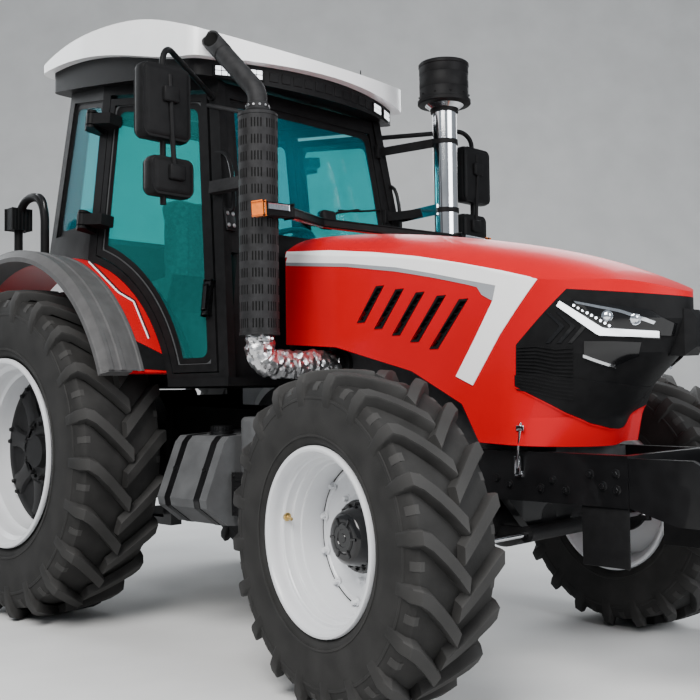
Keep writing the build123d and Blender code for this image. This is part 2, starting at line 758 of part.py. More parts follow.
# Side view of the opening under the hood
with BuildPart() as hood_under:
    with BuildSketch(Plane.XZ):
        with BuildLine():
            Polyline(
                (HOOD_REAR_X - 60, 1436),
                (540, 1404),
                (1010, 1280),
                (1285, 1136),
                (1372, 978),
                (1930, 950),
                (NOSE_X + 60, 1012),
                (NOSE_X + 60, 800),
                (HOOD_REAR_X - 60, 800),
                close=True,
            )
        make_face()
    extrude(amount=HOOD_HALF_W + 50, both=True)

# Side view of the black nose panel
with BuildPart() as nose_region:
    with BuildSketch(Plane.XZ):
        with BuildLine():
            Polyline(
                (1556, 1212),
                (1562, 1372),
                (1778, 1582),
                (NOSE_X + 60, 1540),
                (NOSE_X + 60, 1056),
                (1935, 1083),
                close=True,
            )
        make_face()
    extrude(amount=HOOD_HALF_W + 50, both=True)

# Slanted louvres in the hood's sides: top and bottom ends of the first and the last
LOUVRE_COUNT = 5
LOUVRE_W = 34.0
LOUVRE_FIRST = (Vector(829, 1667), Vector(706, 1515))
LOUVRE_LAST = (Vector(1305, 1572), Vector(1138, 1377))

with BuildPart() as hood:
    add(hood_outer)
    add(hood_inner, mode=Mode.SUBTRACT)
    add(hood_under.part, mode=Mode.SUBTRACT)
    add(nose_region.part, mode=Mode.SUBTRACT)
    with BuildSketch(Plane.XZ):
        for step in range(LOUVRE_COUNT):
            share = step / (LOUVRE_COUNT - 1)
            top = LOUVRE_FIRST[0] + (LOUVRE_LAST[0] - LOUVRE_FIRST[0]) * share
            low = LOUVRE_FIRST[1] + (LOUVRE_LAST[1] - LOUVRE_FIRST[1]) * share
            across = Vector(LOUVRE_W / 2, 0)
            with BuildLine():
                Polyline(top - across, top + across, low + across, low - across, close=True)
            make_face()
    extrude(amount=HOOD_HALF_W + 50, both=True, mode=Mode.SUBTRACT)
    for y in (-HINGE_Y, HINGE_Y):
        with BuildSketch(Plane(origin=(HINGE_PIN_X, y, HINGE_PIN_Z), x_dir=(1, 0, 0), z_dir=(0, -1, 0))):
            Circle(HINGE_EYE_R)
            with Locations((0, 34)):
                Rectangle(30, 56)
            Circle(HINGE_PIN_R + RUNNING_GAP, mode=Mode.SUBTRACT)
        extrude(amount=14, both=True)
save(hood.part, "hood")

MOULDING_OUT = 34.0
MOULDING_HALF_W = 58.0
with BuildPart() as nose_panel:
    add(hood_outer)
    add(hood_inner, mode=Mode.SUBTRACT)
    add(nose_region.part, mode=Mode.INTERSECT)
    with BuildSketch(Plane.XZ):
        with BuildLine():
            Polyline(
                (NOSE_X - HOOD_WALL, 1502),
                (NOSE_X + 18, 1496),
                (NOSE_X + MOULDING_OUT, 1462),
                (NOSE_X + MOULDING_OUT, 1350),
                (NOSE_X, 1318),
                (NOSE_X - 74, 1318),
                (NOSE_X - HOOD_WALL, 1440),
                close=True,
            )
        make_face()
    extrude(amount=MOULDING_HALF_W, both=True)
    chamfer(edges().filter_by(Axis.Z).sort_by(Axis.X)[-2:], MOULDING_OUT)
save(nose_panel.part, "nose_panel")

# Headlamps: lenses that stand proud of the nose panel
LAMP_PROUD = 10.0
with BuildPart() as headlamps:
    add(hood_core(-LAMP_PROUD))
    with BuildSketch(Plane.XZ):
        with BuildLine():
            Polyline(
                (1800, 1540),
                (2040, 1490),
                (2092, 1440),
                (2075, 1392),
                (1960, 1400),
                (1880, 1450),
                close=True,
            )
        make_face()
    extrude(amount=HOOD_HALF_W + 50, both=True, mode=Mode.INTERSECT)
    add(hood_outer, mode=Mode.SUBTRACT)
    with BuildSketch(Plane.XZ):
        with Locations((NOSE_X, 1450)):
            Rectangle(400, 400)
    extrude(amount=70, both=True, mode=Mode.SUBTRACT)
save(headlamps.part, "headlamps")

# Bulkhead between the engine and the cab, with the hinge pins of the hood
BULKHEAD_X = 130.0
BULKHEAD_T = 30.0
with BuildPart() as bulkhead:
    with BuildSketch(Plane(origin=(BULKHEAD_X, 0, 0), x_dir=(0, 1, 0), z_dir=(1, 0, 0))):
        with BuildLine():
            Polyline(
                (-270, GEARBOX_TOP_Z + 20),
                (270, GEARBOX_TOP_Z + 20),
                (330, 1450),
                (330, HINGE_PIN_Z - 30),
                (-330, HINGE_PIN_Z - 30),
                (-330, 1450),
                close=True,
            )
        make_face()
    extrude(amount=BULKHEAD_T)
    for y in (-HINGE_Y, HINGE_Y):
        with BuildSketch(Plane(origin=(HINGE_PIN_X, y, HINGE_PIN_Z), x_dir=(1, 0, 0), z_dir=(0, -1, 0))):
            Circle(HINGE_PIN_R)
        extrude(amount=46, both=True)
        for off in (-34, 34):
            with BuildSketch(
                Plane(origin=(HINGE_PIN_X, y + off, HINGE_PIN_Z), x_dir=(1, 0, 0), z_dir=(0, -1, 0))
            ):
                with BuildLine():
                    Polyline(
                        (18, -18),
                        (18, 16),
                        (-18, 16),
                        (BULKHEAD_X + BULKHEAD_T - HINGE_PIN_X, -40),
                        (BULKHEAD_X + BULKHEAD_T - HINGE_PIN_X, -120),
                        close=True,
                    )
                make_face()
            extrude(amount=8, both=True)
save(bulkhead.part, "hood_bulkhead")


# Cab geometry: the door plane narrows forward and upward, the quarter plane narrows rearward and upward
def door_half(x, z):
    return SIDE_REF_Y - SIDE_SLOPE_X * (x - SIDE_REF_X) - SIDE_SLOPE_Z * (z - SIDE_REF_Z)


def quarter_half(x, z):
    return door_half(PILLAR_B_X, z) - QUARTER_SLOPE_X * (x - PILLAR_B_X)


def wall_plane(half, slope_x):
    # Plane of the right-hand wall, with local X forward and local Y up.
    base = Vector(PILLAR_B_X, -half(PILLAR_B_X, SIDE_REF_Z), SIDE_REF_Z)
    return Plane(origin=base, x_dir=(1, slope_x, 0), z_dir=(slope_x, -1, SIDE_SLOPE_Z))


DOOR_PLANE = wall_plane(door_half, SIDE_SLOPE_X)
QUARTER_PLANE = wall_plane(quarter_half, QUARTER_SLOPE_X)


def on_door(x, z):
    point = DOOR_PLANE.to_local_coords(Vector(x, -door_half(x, z), z))
    return (point.X, point.Y)


def on_quarter(x, z):
    point = QUARTER_PLANE.to_local_coords(Vector(x, -quarter_half(x, z), z))
    return (point.X, point.Y)


def rail_z(x):
    return RAIL_Z0 - RAIL_SLOPE * x


def arch_x(radius, z):
    return REAR_AXLE_X + sqrt(radius**2 - (z - FENDER_Z) ** 2)


def arch_z(radius, x):
    return FENDER_Z + sqrt(radius**2 - (x - REAR_AXLE_X) ** 2)


def pillar_x(z):
    return DOOR_FRONT_X - PILLAR_RAKE * (z - DOOR_LOW_Z)


def screen_x(z):
    return pillar_x(z) + 58


def rear_x(z):
    return CAB_REAR_X + 0.094 * (z - 2100)


DOOR_ARCH_R = FENDER_R + 45
DOOR_REAR_X = PILLAR_B_X + PILLAR_B_W / 2
FLOOR_TOP_Z = FLOOR_LOW_Z + FLOOR_T


def door_outline(grow, lead=0.0, head=0.0):
    # Closed outline of the door, grown or shrunk all round, with extra room at its front and top edges.
    low = DOOR_LOW_Z - grow
    arch = DOOR_ARCH_R - grow
    rear = DOOR_REAR_X - grow
    drop = RAIL_DEPTH - grow - head
    front_top = pillar_x(rail_z(0)) + grow + lead
    start_x = arch_x(arch, low)
    mid_x = (start_x + rear) / 2
    ThreePointArc(
        on_door(start_x, low),
        on_door(mid_x, arch_z(arch, mid_x)),
        on_door(rear, arch_z(arch, rear)),
    )
    Polyline(
        on_door(rear, arch_z(arch, rear)),
        on_door(rear, rail_z(rear) - drop),
        on_door(front_top, rail_z(front_top) - drop),
        on_door(pillar_x(low) + grow + lead, low),
        on_door(start_x, low),
    )


def quarter_outline(grow):
    low = 2120 - grow
    front = PILLAR_B_X - PILLAR_B_W / 2 - 14 + grow
    drop = RAIL_DEPTH - grow
    back = 62 - grow
    top = rail_z(CAB_REAR_X) - drop
    Polyline(
        on_quarter(front, low),
        on_quarter(front, rail_z(front) - drop),
        on_quarter(rear_x(top) + back, rail_z(rear_x(top)) - drop),
        on_quarter(rear_x(low) + back, low),
        close=True,
    )


SCREEN_PLANE = Plane(origin=(screen_x(SIDE_REF_Z), 0, SIDE_REF_Z), x_dir=(0, 1, 0), z_dir=(1, 0, PILLAR_RAKE))
REAR_PLANE = Plane(origin=(rear_x(2100), 0, 2100), x_dir=(0, -1, 0), z_dir=(-1, 0, 0.094))


def on_screen(y, z):
    point = SCREEN_PLANE.to_local_coords(Vector(screen_x(z), y, z))
    return (point.X, point.Y)


def on_rear(y, z):
    point = REAR_PLANE.to_local_coords(Vector(rear_x(z), y, z))
    return (point.X, point.Y)


def screen_outline():
    Polyline(
        on_screen(-SCREEN_HALF_LOW, SCREEN_LOW_Z),
        on_screen(SCREEN_HALF_LOW, SCREEN_LOW_Z),
        on_screen(SCREEN_HALF_TOP, SCREEN_TOP_Z),
        on_screen(-SCREEN_HALF_TOP, SCREEN_TOP_Z),
        close=True,
    )


def rear_outline():
    Polyline(
        on_rear(-620, 2130),
        on_rear(620, 2130),
        on_rear(560, 2900),
        on_rear(-560, 2900),
        close=True,
    )


# Cab frame: pillars, rails and window surrounds as one welded piece
with BuildPart() as cab_frame:
    with BuildSketch(DOOR_PLANE):
        with BuildLine():
            rear = PILLAR_B_X - PILLAR_B_W / 2
            arch = FENDER_R
            foot = arch_x(arch, FLOOR_TOP_Z)
            mid = (foot + rear) / 2
            front_top = pillar_x(rail_z(0)) + PILLAR_A_W
            ThreePointArc(
                on_door(foot, FLOOR_TOP_Z),
                on_door(mid, arch_z(arch, mid)),
                on_door(rear, arch_z(arch, rear)),
            )
            Polyline(
                on_door(rear, arch_z(arch, rear)),
                on_door(rear, rail_z(rear)),
                on_door(front_top, rail_z(front_top)),
                on_door(pillar_x(FLOOR_TOP_Z) + PILLAR_A_W, FLOOR_TOP_Z),
                on_door(foot, FLOOR_TOP_Z),
            )
        make_face()
        with BuildLine():
            door_outline(SWING_GAP, DOOR_LEAD, DOOR_HEAD)
        make_face(mode=Mode.SUBTRACT)
    extrude(amount=-CAB_WALL)
    with BuildSketch(QUARTER_PLANE):
        with BuildLine():
            front = PILLAR_B_X
            top = rail_z(CAB_REAR_X)
            back_low = rear_x(1950)
            arch = FENDER_R
            mid = REAR_AXLE_X
            ThreePointArc(
                on_quarter(front, arch_z(arch, front)),
                on_quarter(mid, arch_z(arch, mid)),
                on_quarter(back_low, arch_z(arch, back_low)),
            )
            Polyline(
                on_quarter(back_low, arch_z(arch, back_low)),
                on_quarter(rear_x(top), rail_z(rear_x(top))),
                on_quarter(front, rail_z(front)),
                on_quarter(front, arch_z(arch, front)),
            )
        make_face()
        with BuildLine():
            quarter_outline(0)
        make_face(mode=Mode.SUBTRACT)
    extrude(amount=-CAB_WALL)
    mirror(about=Plane.XZ)
    with BuildSketch(SCREEN_PLANE):
        with BuildLine():
            Polyline(
                on_screen(-640, SCREEN_LOW_Z - 95),
                on_screen(640, SCREEN_LOW_Z - 95),
                on_screen(590, SCREEN_TOP_Z + 78),
                on_screen(-590, SCREEN_TOP_Z + 78),
                close=True,
            )
        make_face()
        with BuildLine():
            screen_outline()
        make_face(mode=Mode.SUBTRACT)
    extrude(amount=-CAB_WALL)
    with BuildSketch(REAR_PLANE):
        with BuildLine():
            Polyline(
                on_rear(-quarter_half(rear_x(1960), 1960) + 8, 1960),
                on_rear(quarter_half(rear_x(1960), 1960) - 8, 1960),
                on_rear(quarter_half(rear_x(2980), 2980) - 8, 2980),
                on_rear(-quarter_half(rear_x(2980), 2980) + 8, 2980),
                close=True,
            )
        make_face()
        with BuildLine():
            rear_outline()
        make_face(mode=Mode.SUBTRACT)
    extrude(amount=-CAB_WALL)
    with BuildSketch(Plane.XZ):
        with Locations((REAR_AXLE_X, FENDER_Z)):
            Circle(FENDER_R + RUNNING_GAP)
    extrude(amount=FLARE_OUT_Y, both=True, mode=Mode.SUBTRACT)
    with BuildSketch(Plane.XY.offset(FLOOR_TOP_Z)):
        Rectangle(WHEELBASE, 2 * FLARE_OUT_Y)
    extrude(amount=-FLOOR_T, mode=Mode.SUBTRACT)
save(cab_frame.part, "cab_frame")

# Fixed cab glass: windscreen, two quarter windows and the rear window
with BuildPart() as cab_glass:
    with BuildSketch(QUARTER_PLANE.offset(-CAB_WALL / 3)):
        with BuildLine():
            quarter_outline(0)
        make_face()
    extrude(amount=-GLASS_T)
    mirror(about=Plane.XZ)
    with BuildSketch(SCREEN_PLANE.offset(-CAB_WALL / 3)):
        with BuildLine():
            screen_outline()
        make_face()
    extrude(amount=-GLASS_T)
    with BuildSketch(REAR_PLANE.offset(-CAB_WALL / 3)):
        with BuildLine():
            rear_outline()
        make_face()
    extrude(amount=-GLASS_T)
save(cab_glass.part, "cab_glass")

# Cab floor with the wheel-well walls, the front panel and the rear wall
FLOOR_FRONT_X = 160.0
FLOOR_MID_FRONT_X = 115.0
FLOOR_MID_HALF_W = 400.0
FLOOR_FRONT_HALF_W = 745.0
FLOOR_WIDE_HALF_W = 800.0
FLOOR_WIDE_X = -250.0
FRONT_PANEL_X = 60.0
FRONT_PANEL_LOW_W = 668.0
FRONT_PANEL_TOP_W = 600.0
FRONT_PANEL_TOP_Z = 1882.0
REAR_WALL_TOP_Z = 1955.0
WALL_T = 40.0
with BuildPart() as cab_floor:
    with BuildSketch(Plane.XY.offset(FLOOR_LOW_Z)):
        with BuildLine():
            Polyline(
                (FLOOR_MID_FRONT_X, 0),
                (FLOOR_MID_FRONT_X, FLOOR_MID_HALF_W),
                (FLOOR_FRONT_X, FLOOR_MID_HALF_W),
                (FLOOR_FRONT_X, FLOOR_FRONT_HALF_W),
                (FLOOR_WIDE_X, FLOOR_WIDE_HALF_W),
                (FLOOR_WIDE_X, INNER_WALL_Y),
                (CAB_REAR_X, INNER_WALL_Y),
                (CAB_REAR_X, 0),
                close=True,
            )
        make_face()
    extrude(amount=FLOOR_T)
    with BuildSketch(Plane.XZ.offset(-INNER_WALL_Y)):
        with BuildLine():
            foot = arch_x(FENDER_R, FLOOR_TOP_Z)
            mid = (foot + CAB_REAR_X) / 2
            ThreePointArc(
                (foot, FLOOR_TOP_Z),
                (mid, arch_z(FENDER_R, mid)),
                (CAB_REAR_X, arch_z(FENDER_R, CAB_REAR_X)),
            )
            Polyline(
                (CAB_REAR_X, arch_z(FENDER_R, CAB_REAR_X)),
                (CAB_REAR_X, FLOOR_TOP_Z),
                (foot, FLOOR_TOP_Z),
            )
        make_face()
    extrude(amount=WALL_T)
    with BuildSketch(Plane.XY.offset(FLOOR_TOP_Z)):
        with Locations((CAB_REAR_X + WALL_T / 2, INNER_WALL_Y / 2)):
            Rectangle(WALL_T, INNER_WALL_Y)
    extrude(amount=REAR_WALL_TOP_Z - FLOOR_TOP_Z)
    mirror(about=Plane.XZ)
    with BuildSketch(Plane(origin=(FRONT_PANEL_X, 0, 0), x_dir=(0, 1, 0), z_dir=(1, 0, 0))):
        with BuildLine():
            Polyline(
                (-FRONT_PANEL_LOW_W, FLOOR_TOP_Z),
                (FRONT_PANEL_LOW_W, FLOOR_TOP_Z),
                (FRONT_PANEL_TOP_W, FRONT_PANEL_TOP_Z),
                (-FRONT_PANEL_TOP_W, FRONT_PANEL_TOP_Z),
                close=True,
            )
        make_face()
    extrude(amount=-WALL_T)
save(cab_floor.part, "cab_floor")

# Doors: frame with its rear hinges, and a full pane
HINGE_PIN_D = 28.0
HINGE_RING_R = 26.0
HINGE_RING_H = 60.0
HINGE_EAR_T = 14.0
HINGE_HEIGHTS = (2130.0, 2690.0)
HINGE_STRAP_L = 120.0
HINGE_SINK = 4.0
HINGE_X = DOOR_REAR_X - SWING_GAP


def hinge_point(z):
    # Point of the hinge line, which runs parallel to the door.
    low = HINGE_HEIGHTS[0]
    foot = Vector(HINGE_X, -door_half(HINGE_X, low), low)
    rise = DOOR_PLANE.y_dir * ((z - low) / DOOR_PLANE.y_dir.Z)
    return foot + DOOR_PLANE.z_dir * HINGE_OUT + rise


def hinge_plane(z):
    # Plane square to the hinge line, local X forward, local Y outward.
    return Plane(origin=hinge_point(z), x_dir=DOOR_PLANE.x_dir, z_dir=-DOOR_PLANE.y_dir)


with BuildPart() as door_right:
    with BuildSketch(DOOR_PLANE):
        with BuildLine():
            door_outline(0)
        make_face()
        with BuildLine():
            door_outline(-DOOR_BORDER)
        make_face(mode=Mode.SUBTRACT)
    extrude(amount=-DOOR_T)
    for z in HINGE_HEIGHTS:
        with BuildSketch(hinge_plane(z)):
            Circle(HINGE_RING_R)
            with BuildLine():
                Polyline(
                    (-8, 20),
                    (HINGE_STRAP_L, -30),
                    (HINGE_STRAP_L, -HINGE_OUT - HINGE_SINK),
                    (14, -HINGE_OUT - HINGE_SINK),
                    (14, -30),
                    (-8, -20),
                    close=True,
                )
            make_face()
            Circle(HINGE_PIN_D / 2 + RUNNING_GAP, mode=Mode.SUBTRACT)
        extrude(amount=HINGE_RING_H / 2, both=True)

with BuildPart() as door_pane_right:
    with BuildSketch(DOOR_PLANE.offset(-DOOR_T / 3)):
        with BuildLine():
            door_outline(-DOOR_BORDER)
        make_face()
    extrude(amount=-GLASS_T)

save(door_right.part, "door_right")
save(door_pane_right.part, "door_glass_right")
save(mirror(door_right.part, about=Plane.XZ), "door_left")
save(mirror(door_pane_right.part, about=Plane.XZ), "door_glass_left")

# Hinge brackets on the B pillars, with their pins
with BuildPart() as door_hinges:
    for z in HINGE_HEIGHTS:
        ear = HINGE_RING_H / 2 + SWING_GAP
        with BuildSketch(hinge_plane(z)):
            Circle(HINGE_PIN_D / 2)
        extrude(amount=ear + HINGE_EAR_T, both=True)
        for end in (-1, 1):
            with BuildSketch(hinge_plane(z).offset(end * ear)):
                Circle(HINGE_RING_R)
                with BuildLine():
                    Polyline(
                        (0, HINGE_RING_R),
                        (-62, -10),
                        (-62, -HINGE_OUT),
                        (-18, -HINGE_OUT),
                        (HINGE_RING_R, 0),
                        close=True,
                    )
                make_face()
            extrude(amount=end * HINGE_EAR_T)
        with BuildSketch(hinge_plane(z)):
            with BuildLine():
                Polyline(
                    (-62, -10),
                    (-62, -HINGE_OUT),
                    (-36, -HINGE_OUT),
                    (-36, -6),
                    close=True,
                )
            make_face()
        extrude(amount=ear + HINGE_EAR_T, both=True)
    mirror(about=Plane.XZ)
save(door_hinges.part, "door_hinges")

# Rear fenders: red inner sheet and the wide dark flare outside it


def arch_band(inner, outer, start_deg, end_deg):
    # Ring sector round the fender centre, drawn in side view.
    mid_deg = (start_deg + end_deg) / 2

    def at(radius, deg):
        return (REAR_AXLE_X + radius * cos(radians(deg)), FENDER_Z + radius * sin(radians(deg)))

    ThreePointArc(at(outer, start_deg), at(outer, mid_deg), at(outer, end_deg))
    Line(at(outer, end_deg), at(inner, end_deg))
    ThreePointArc(at(inner, end_deg), at(inner, mid_deg), at(inner, start_deg))
    Line(at(inner, start_deg), at(outer, start_deg))


with BuildPart() as fenders:
    with BuildSketch(Plane.XZ.offset(INNER_WALL_Y)):
        with BuildLine():
            arch_band(FENDER_R - FENDER_T, FENDER_R, FENDER_FRONT_DEG, FENDER_REAR_DEG)
        make_face()
    extrude(amount=FENDER_SPLIT_Y - INNER_WALL_Y)
    mirror(about=Plane.XZ)
save(fenders.part, "fenders")

with BuildPart() as flares:
    with BuildSketch(Plane.XZ.offset(FENDER_SPLIT_Y)):
        with BuildLine():
            arch_band(FENDER_R - FLARE_T, FENDER_R + 8, FENDER_FRONT_DEG, FENDER_REAR_DEG)
        make_face()
    extrude(amount=FLARE_OUT_Y - FENDER_SPLIT_Y)
    chamfer(faces().sort_by(Axis.Y)[0].edges().filter_by(GeomType.CIRCLE).sort_by(SortBy.RADIUS)[-1:], 30)
    mirror(about=Plane.XZ)
save(flares.part, "fender_flares")

# Roof: pale cap over a dark base
CAP_LOW = ((170, 2872), (-180, 2884), (-550, 2977), (-900, 3062), (-1250, 3112), (-1660, 3122))
CAP_TOP = ((170, 2925), (-60, 3010), (-400, 3130), (-800, 3200), (-1250, 3212), (-1660, 3146))
ROOF_FRONT_X = 150.0
ROOF_REAR_X = -1650.0
ROOF_CORNER_X = -60.0
ROOF_MID_X = -800.0
ROOF_CORNER_R = 90.0
ROOF_CUT_Z = 2600.0
ROOF_CUT_H = 800.0


def roof_outline(inset):
    # Plan of the roof: bowed front, sides and back.
    half = ROOF_HALF_W - inset
    front = (ROOF_CORNER_X - inset, half - 20)
    back = (ROOF_REAR_X + inset + 50, half - 40)
    ThreePointArc((front[0], -front[1]), (ROOF_FRONT_X - inset, 0), front)
    ThreePointArc(front, (ROOF_MID_X, half), back)
    ThreePointArc(back, (ROOF_REAR_X + inset, 0), (back[0], -back[1]))
    ThreePointArc((back[0], -back[1]), (ROOF_MID_X, -half), (front[0], -front[1]))


with BuildPart() as roof_cap:
    with BuildSketch(Plane.XZ):
        with BuildLine():
            Spline(*CAP_LOW)
            Line(CAP_LOW[-1], CAP_TOP[-1])
            Spline(*reversed(CAP_TOP))
            Line(CAP_TOP[0], CAP_LOW[0])
        make_face()
    extrude(amount=ROOF_HALF_W, both=True)
    with BuildSketch(Plane.XY.offset(ROOF_CUT_Z)):
        with BuildLine():
            roof_outline(0)
        make_face()
        fillet(vertices(), radius=ROOF_CORNER_R)
    extrude(amount=ROOF_CUT_H, mode=Mode.INTERSECT)
save(roof_cap.part, "roof_cap")

with BuildPart() as roof_base:
    with BuildSketch(Plane.XZ):
        with BuildLine():
            Spline(*CAP_LOW)
            Polyline(
                CAP_LOW[-1],
                (CAP_LOW[-1][0], rail_z(CAP_LOW[-1][0])),
                (CAP_LOW[0][0], rail_z(CAP_LOW[0][0])),
                CAP_LOW[0],
            )
        make_face()
    extrude(amount=ROOF_HALF_W, both=True)
    with BuildSketch(Plane.XY.offset(ROOF_CUT_Z)):
        with BuildLine():
            roof_outline(ROOF_BASE_IN)
        make_face()
        fillet(vertices(), radius=ROOF_CORNER_R)
    extrude(amount=ROOF_CUT_H, mode=Mode.INTERSECT)
save(roof_base.part, "roof_base")

# Exhaust: elbow from the engine, shielded stack, bent outlet and a bracket to the A pillar
STACK_ELBOW_Z = 1330.0
STACK_ELBOW_X = 420.0
STACK_BEND_R = 90.0
STACK_FLANGE_R = 74.0
STACK_FLANGE_T = 24.0
SHIELD_WALL = 5.0
STACK_START_Y = ENGINE_HALF_W + STACK_FLANGE_T / 2
OUTLET_KNEE_Z = 2600.0
OUTLET_END = (20.0, -750.0, 2950.0)
OUTLET_BORE_R = 40.0
OUTLET_BORE_L = 160.0
BRACKET_REAR_X = -45.0
BRACKET_LOW_Z = 2180.0
BRACKET_H = 60.0
BRACKET_OUT = 40.0
with BuildPart() as exhaust:
    with BuildLine():
        FilletPolyline(
            (STACK_ELBOW_X, -STACK_START_Y, STACK_ELBOW_Z),
            (STACK_X, -STACK_Y, STACK_ELBOW_Z),
            (STACK_X, -STACK_Y, OUTLET_KNEE_Z),
            OUTLET_END,
            radius=STACK_BEND_R,
        )
    start = Vector(STACK_ELBOW_X, -STACK_START_Y, STACK_ELBOW_Z)
    toward = Vector(STACK_X, -STACK_Y, STACK_ELBOW_Z) - start
    with BuildSketch(Plane(origin=start, z_dir=toward)):
        Circle(PIPE_R)
    sweep()
    with BuildSketch(
        Plane(origin=(STACK_ELBOW_X, -ENGINE_HALF_W, STACK_ELBOW_Z), x_dir=(1, 0, 0), z_dir=(0, -1, 0))
    ):
        Circle(STACK_FLANGE_R)
    extrude(amount=STACK_FLANGE_T)
    outlet = Vector(*OUTLET_END)
    with BuildSketch(Plane(origin=outlet, z_dir=Vector(STACK_X, -STACK_Y, OUTLET_KNEE_Z) - outlet)):
        Circle(OUTLET_BORE_R)
    extrude(amount=OUTLET_BORE_L, mode=Mode.SUBTRACT)
    with BuildSketch(Plane(origin=(STACK_X, -STACK_Y, SHIELD_LOW_Z))):
        Circle(SHIELD_R)
        Circle(SHIELD_R - SHIELD_WALL, mode=Mode.SUBTRACT)
    extrude(amount=SHIELD_TOP_Z - SHIELD_LOW_Z)
    for z in (SHIELD_LOW_Z, SHIELD_TOP_Z - SHIELD_WALL):
        with BuildSketch(Plane(origin=(STACK_X, -STACK_Y, z))):
            Circle(SHIELD_R - SHIELD_WALL / 2)
        extrude(amount=SHIELD_WALL)
    bracket_top = BRACKET_LOW_Z + BRACKET_H
    with BuildSketch(DOOR_PLANE):
        with BuildLine():
            Polyline(
                on_door(BRACKET_REAR_X, BRACKET_LOW_Z),
                on_door(STACK_X - 20, BRACKET_LOW_Z),
                on_door(STACK_X - 20, bracket_top),
                on_door(BRACKET_REAR_X, bracket_top),
                close=True,
            )
        make_face()
    extrude(amount=BRACKET_OUT)
save(exhaust.part, "exhaust_stack")

# Air intake on the left: elbow, tube, pre-cleaner drum and a bracket to the A pillar
INTAKE_X = 338.0
INTAKE_Y = 690.0
INTAKE_ELBOW_R = 55.0
CLEANER_LOW_Z = 2820.0
CLEANER_RIM = 18.0
with BuildPart() as intake:
    with BuildLine():
        FilletPolyline(
            (STACK_ELBOW_X, -STACK_START_Y, STACK_ELBOW_Z),
            (INTAKE_X, -INTAKE_Y, STACK_ELBOW_Z),
            (INTAKE_X, -INTAKE_Y, SHIELD_LOW_Z + 30),
            radius=STACK_BEND_R,
        )
    start = Vector(STACK_ELBOW_X, -STACK_START_Y, STACK_ELBOW_Z)
    toward = Vector(INTAKE_X, -INTAKE_Y, STACK_ELBOW_Z) - start
    with BuildSketch(Plane(origin=start, z_dir=toward)):
        Circle(INTAKE_ELBOW_R)
    sweep()
    with BuildSketch(
        Plane(origin=(STACK_ELBOW_X, -ENGINE_HALF_W, STACK_ELBOW_Z), x_dir=(1, 0, 0), z_dir=(0, -1, 0))
    ):
        Circle(STACK_FLANGE_R)
    extrude(amount=STACK_FLANGE_T)
    with BuildSketch(Plane(origin=(INTAKE_X, -INTAKE_Y, 0), x_dir=(1, 0, 0), z_dir=(0, -1, 0))):
        with BuildLine():
            Polyline(
                (0, SHIELD_LOW_Z),
                (INTAKE_R, SHIELD_LOW_Z),
                (INTAKE_R, CLEANER_LOW_Z - 2 * CLEANER_RIM),
                (CLEANER_R - CLEANER_RIM, CLEANER_LOW_Z),
                (CLEANER_R, CLEANER_LOW_Z + CLEANER_RIM),
                (CLEANER_R, CLEANER_LOW_Z + CLEANER_H),
                (CLEANER_R - 2 * CLEANER_RIM, CLEANER_LOW_Z + CLEANER_H + CLEANER_RIM),
                (0, CLEANER_LOW_Z + CLEANER_H + 2 * CLEANER_RIM),
                close=True,
            )
        make_face()
    revolve(axis=Axis((INTAKE_X, -INTAKE_Y, 0), (0, 0, 1)))
    with BuildSketch(DOOR_PLANE):
        with BuildLine():
            Polyline(
                on_door(BRACKET_REAR_X, BRACKET_LOW_Z),
                on_door(INTAKE_X, BRACKET_LOW_Z),
                on_door(INTAKE_X, bracket_top),
                on_door(BRACKET_REAR_X, bracket_top),
                close=True,
            )
        make_face()
    extrude(amount=BRACKET_OUT)
save(mirror(intake.part, about=Plane.XZ), "intake_stack")

# Fuel tank on the right, sloped outward toward its foot
TANK_REAR_X = -300.0
TANK_FRONT_X = 95.0
with BuildPart() as fuel_tank:
    with BuildSketch(Plane(origin=(TANK_REAR_X, 0, 0), x_dir=(0, 1, 0), z_dir=(1, 0, 0))):
        with BuildLine():
            Polyline(
                (-GEARBOX_HALF_W, 1010),
                (-690, 985),
                (-720, 955),
                (-830, 690),
                (-822, 650),
                (-700, 560),
                (-360, 540),
                (-GEARBOX_HALF_W, 660),
                close=True,
            )
        make_face()
    extrude(amount=TANK_FRONT_X - TANK_REAR_X)
save(fuel_tank.part, "fuel_tank")

# Column tank and battery box ahead of the fuel tank
SIDE_TANK_REAR_X = 112.0
SIDE_TANK_FRONT_X = 278.0
SIDE_TANK_OUT_Y = 660.0
SIDE_TANK_SPLIT_Z = 815.0
SIDE_TANK_TOP_Z = 1080.0
SIDE_BOX_LOW_Z = 610.0
SIDE_BOX_OUT_Y = 690.0
BELL_HALF_W = 300.0
with BuildPart() as side_tank:
    with BuildSketch(Plane.XY.offset(SIDE_TANK_SPLIT_Z)):
        with Locations(((SIDE_TANK_REAR_X + SIDE_TANK_FRONT_X) / 2, -(BELL_HALF_W + SIDE_TANK_OUT_Y) / 2)):
            Rectangle(SIDE_TANK_FRONT_X - SIDE_TANK_REAR_X, SIDE_TANK_OUT_Y - BELL_HALF_W)
        fillet(vertices().group_by(Axis.Y)[0], radius=60)
    extrude(amount=SIDE_TANK_TOP_Z - SIDE_TANK_SPLIT_Z)
    fillet(faces().sort_by(Axis.Z)[-1].edges(), radius=24)
save(side_tank.part, "side_tank")

with BuildPart() as battery_box:
    with BuildSketch(Plane.XY.offset(SIDE_BOX_LOW_Z)):
        with Locations(((SIDE_TANK_REAR_X + SIDE_TANK_FRONT_X) / 2, -(BELL_HALF_W + SIDE_BOX_OUT_Y) / 2)):
            Rectangle(SIDE_TANK_FRONT_X - SIDE_TANK_REAR_X, SIDE_BOX_OUT_Y - BELL_HALF_W)
    extrude(amount=SIDE_TANK_SPLIT_Z - SIDE_BOX_LOW_Z)
save(battery_box.part, "battery_box")

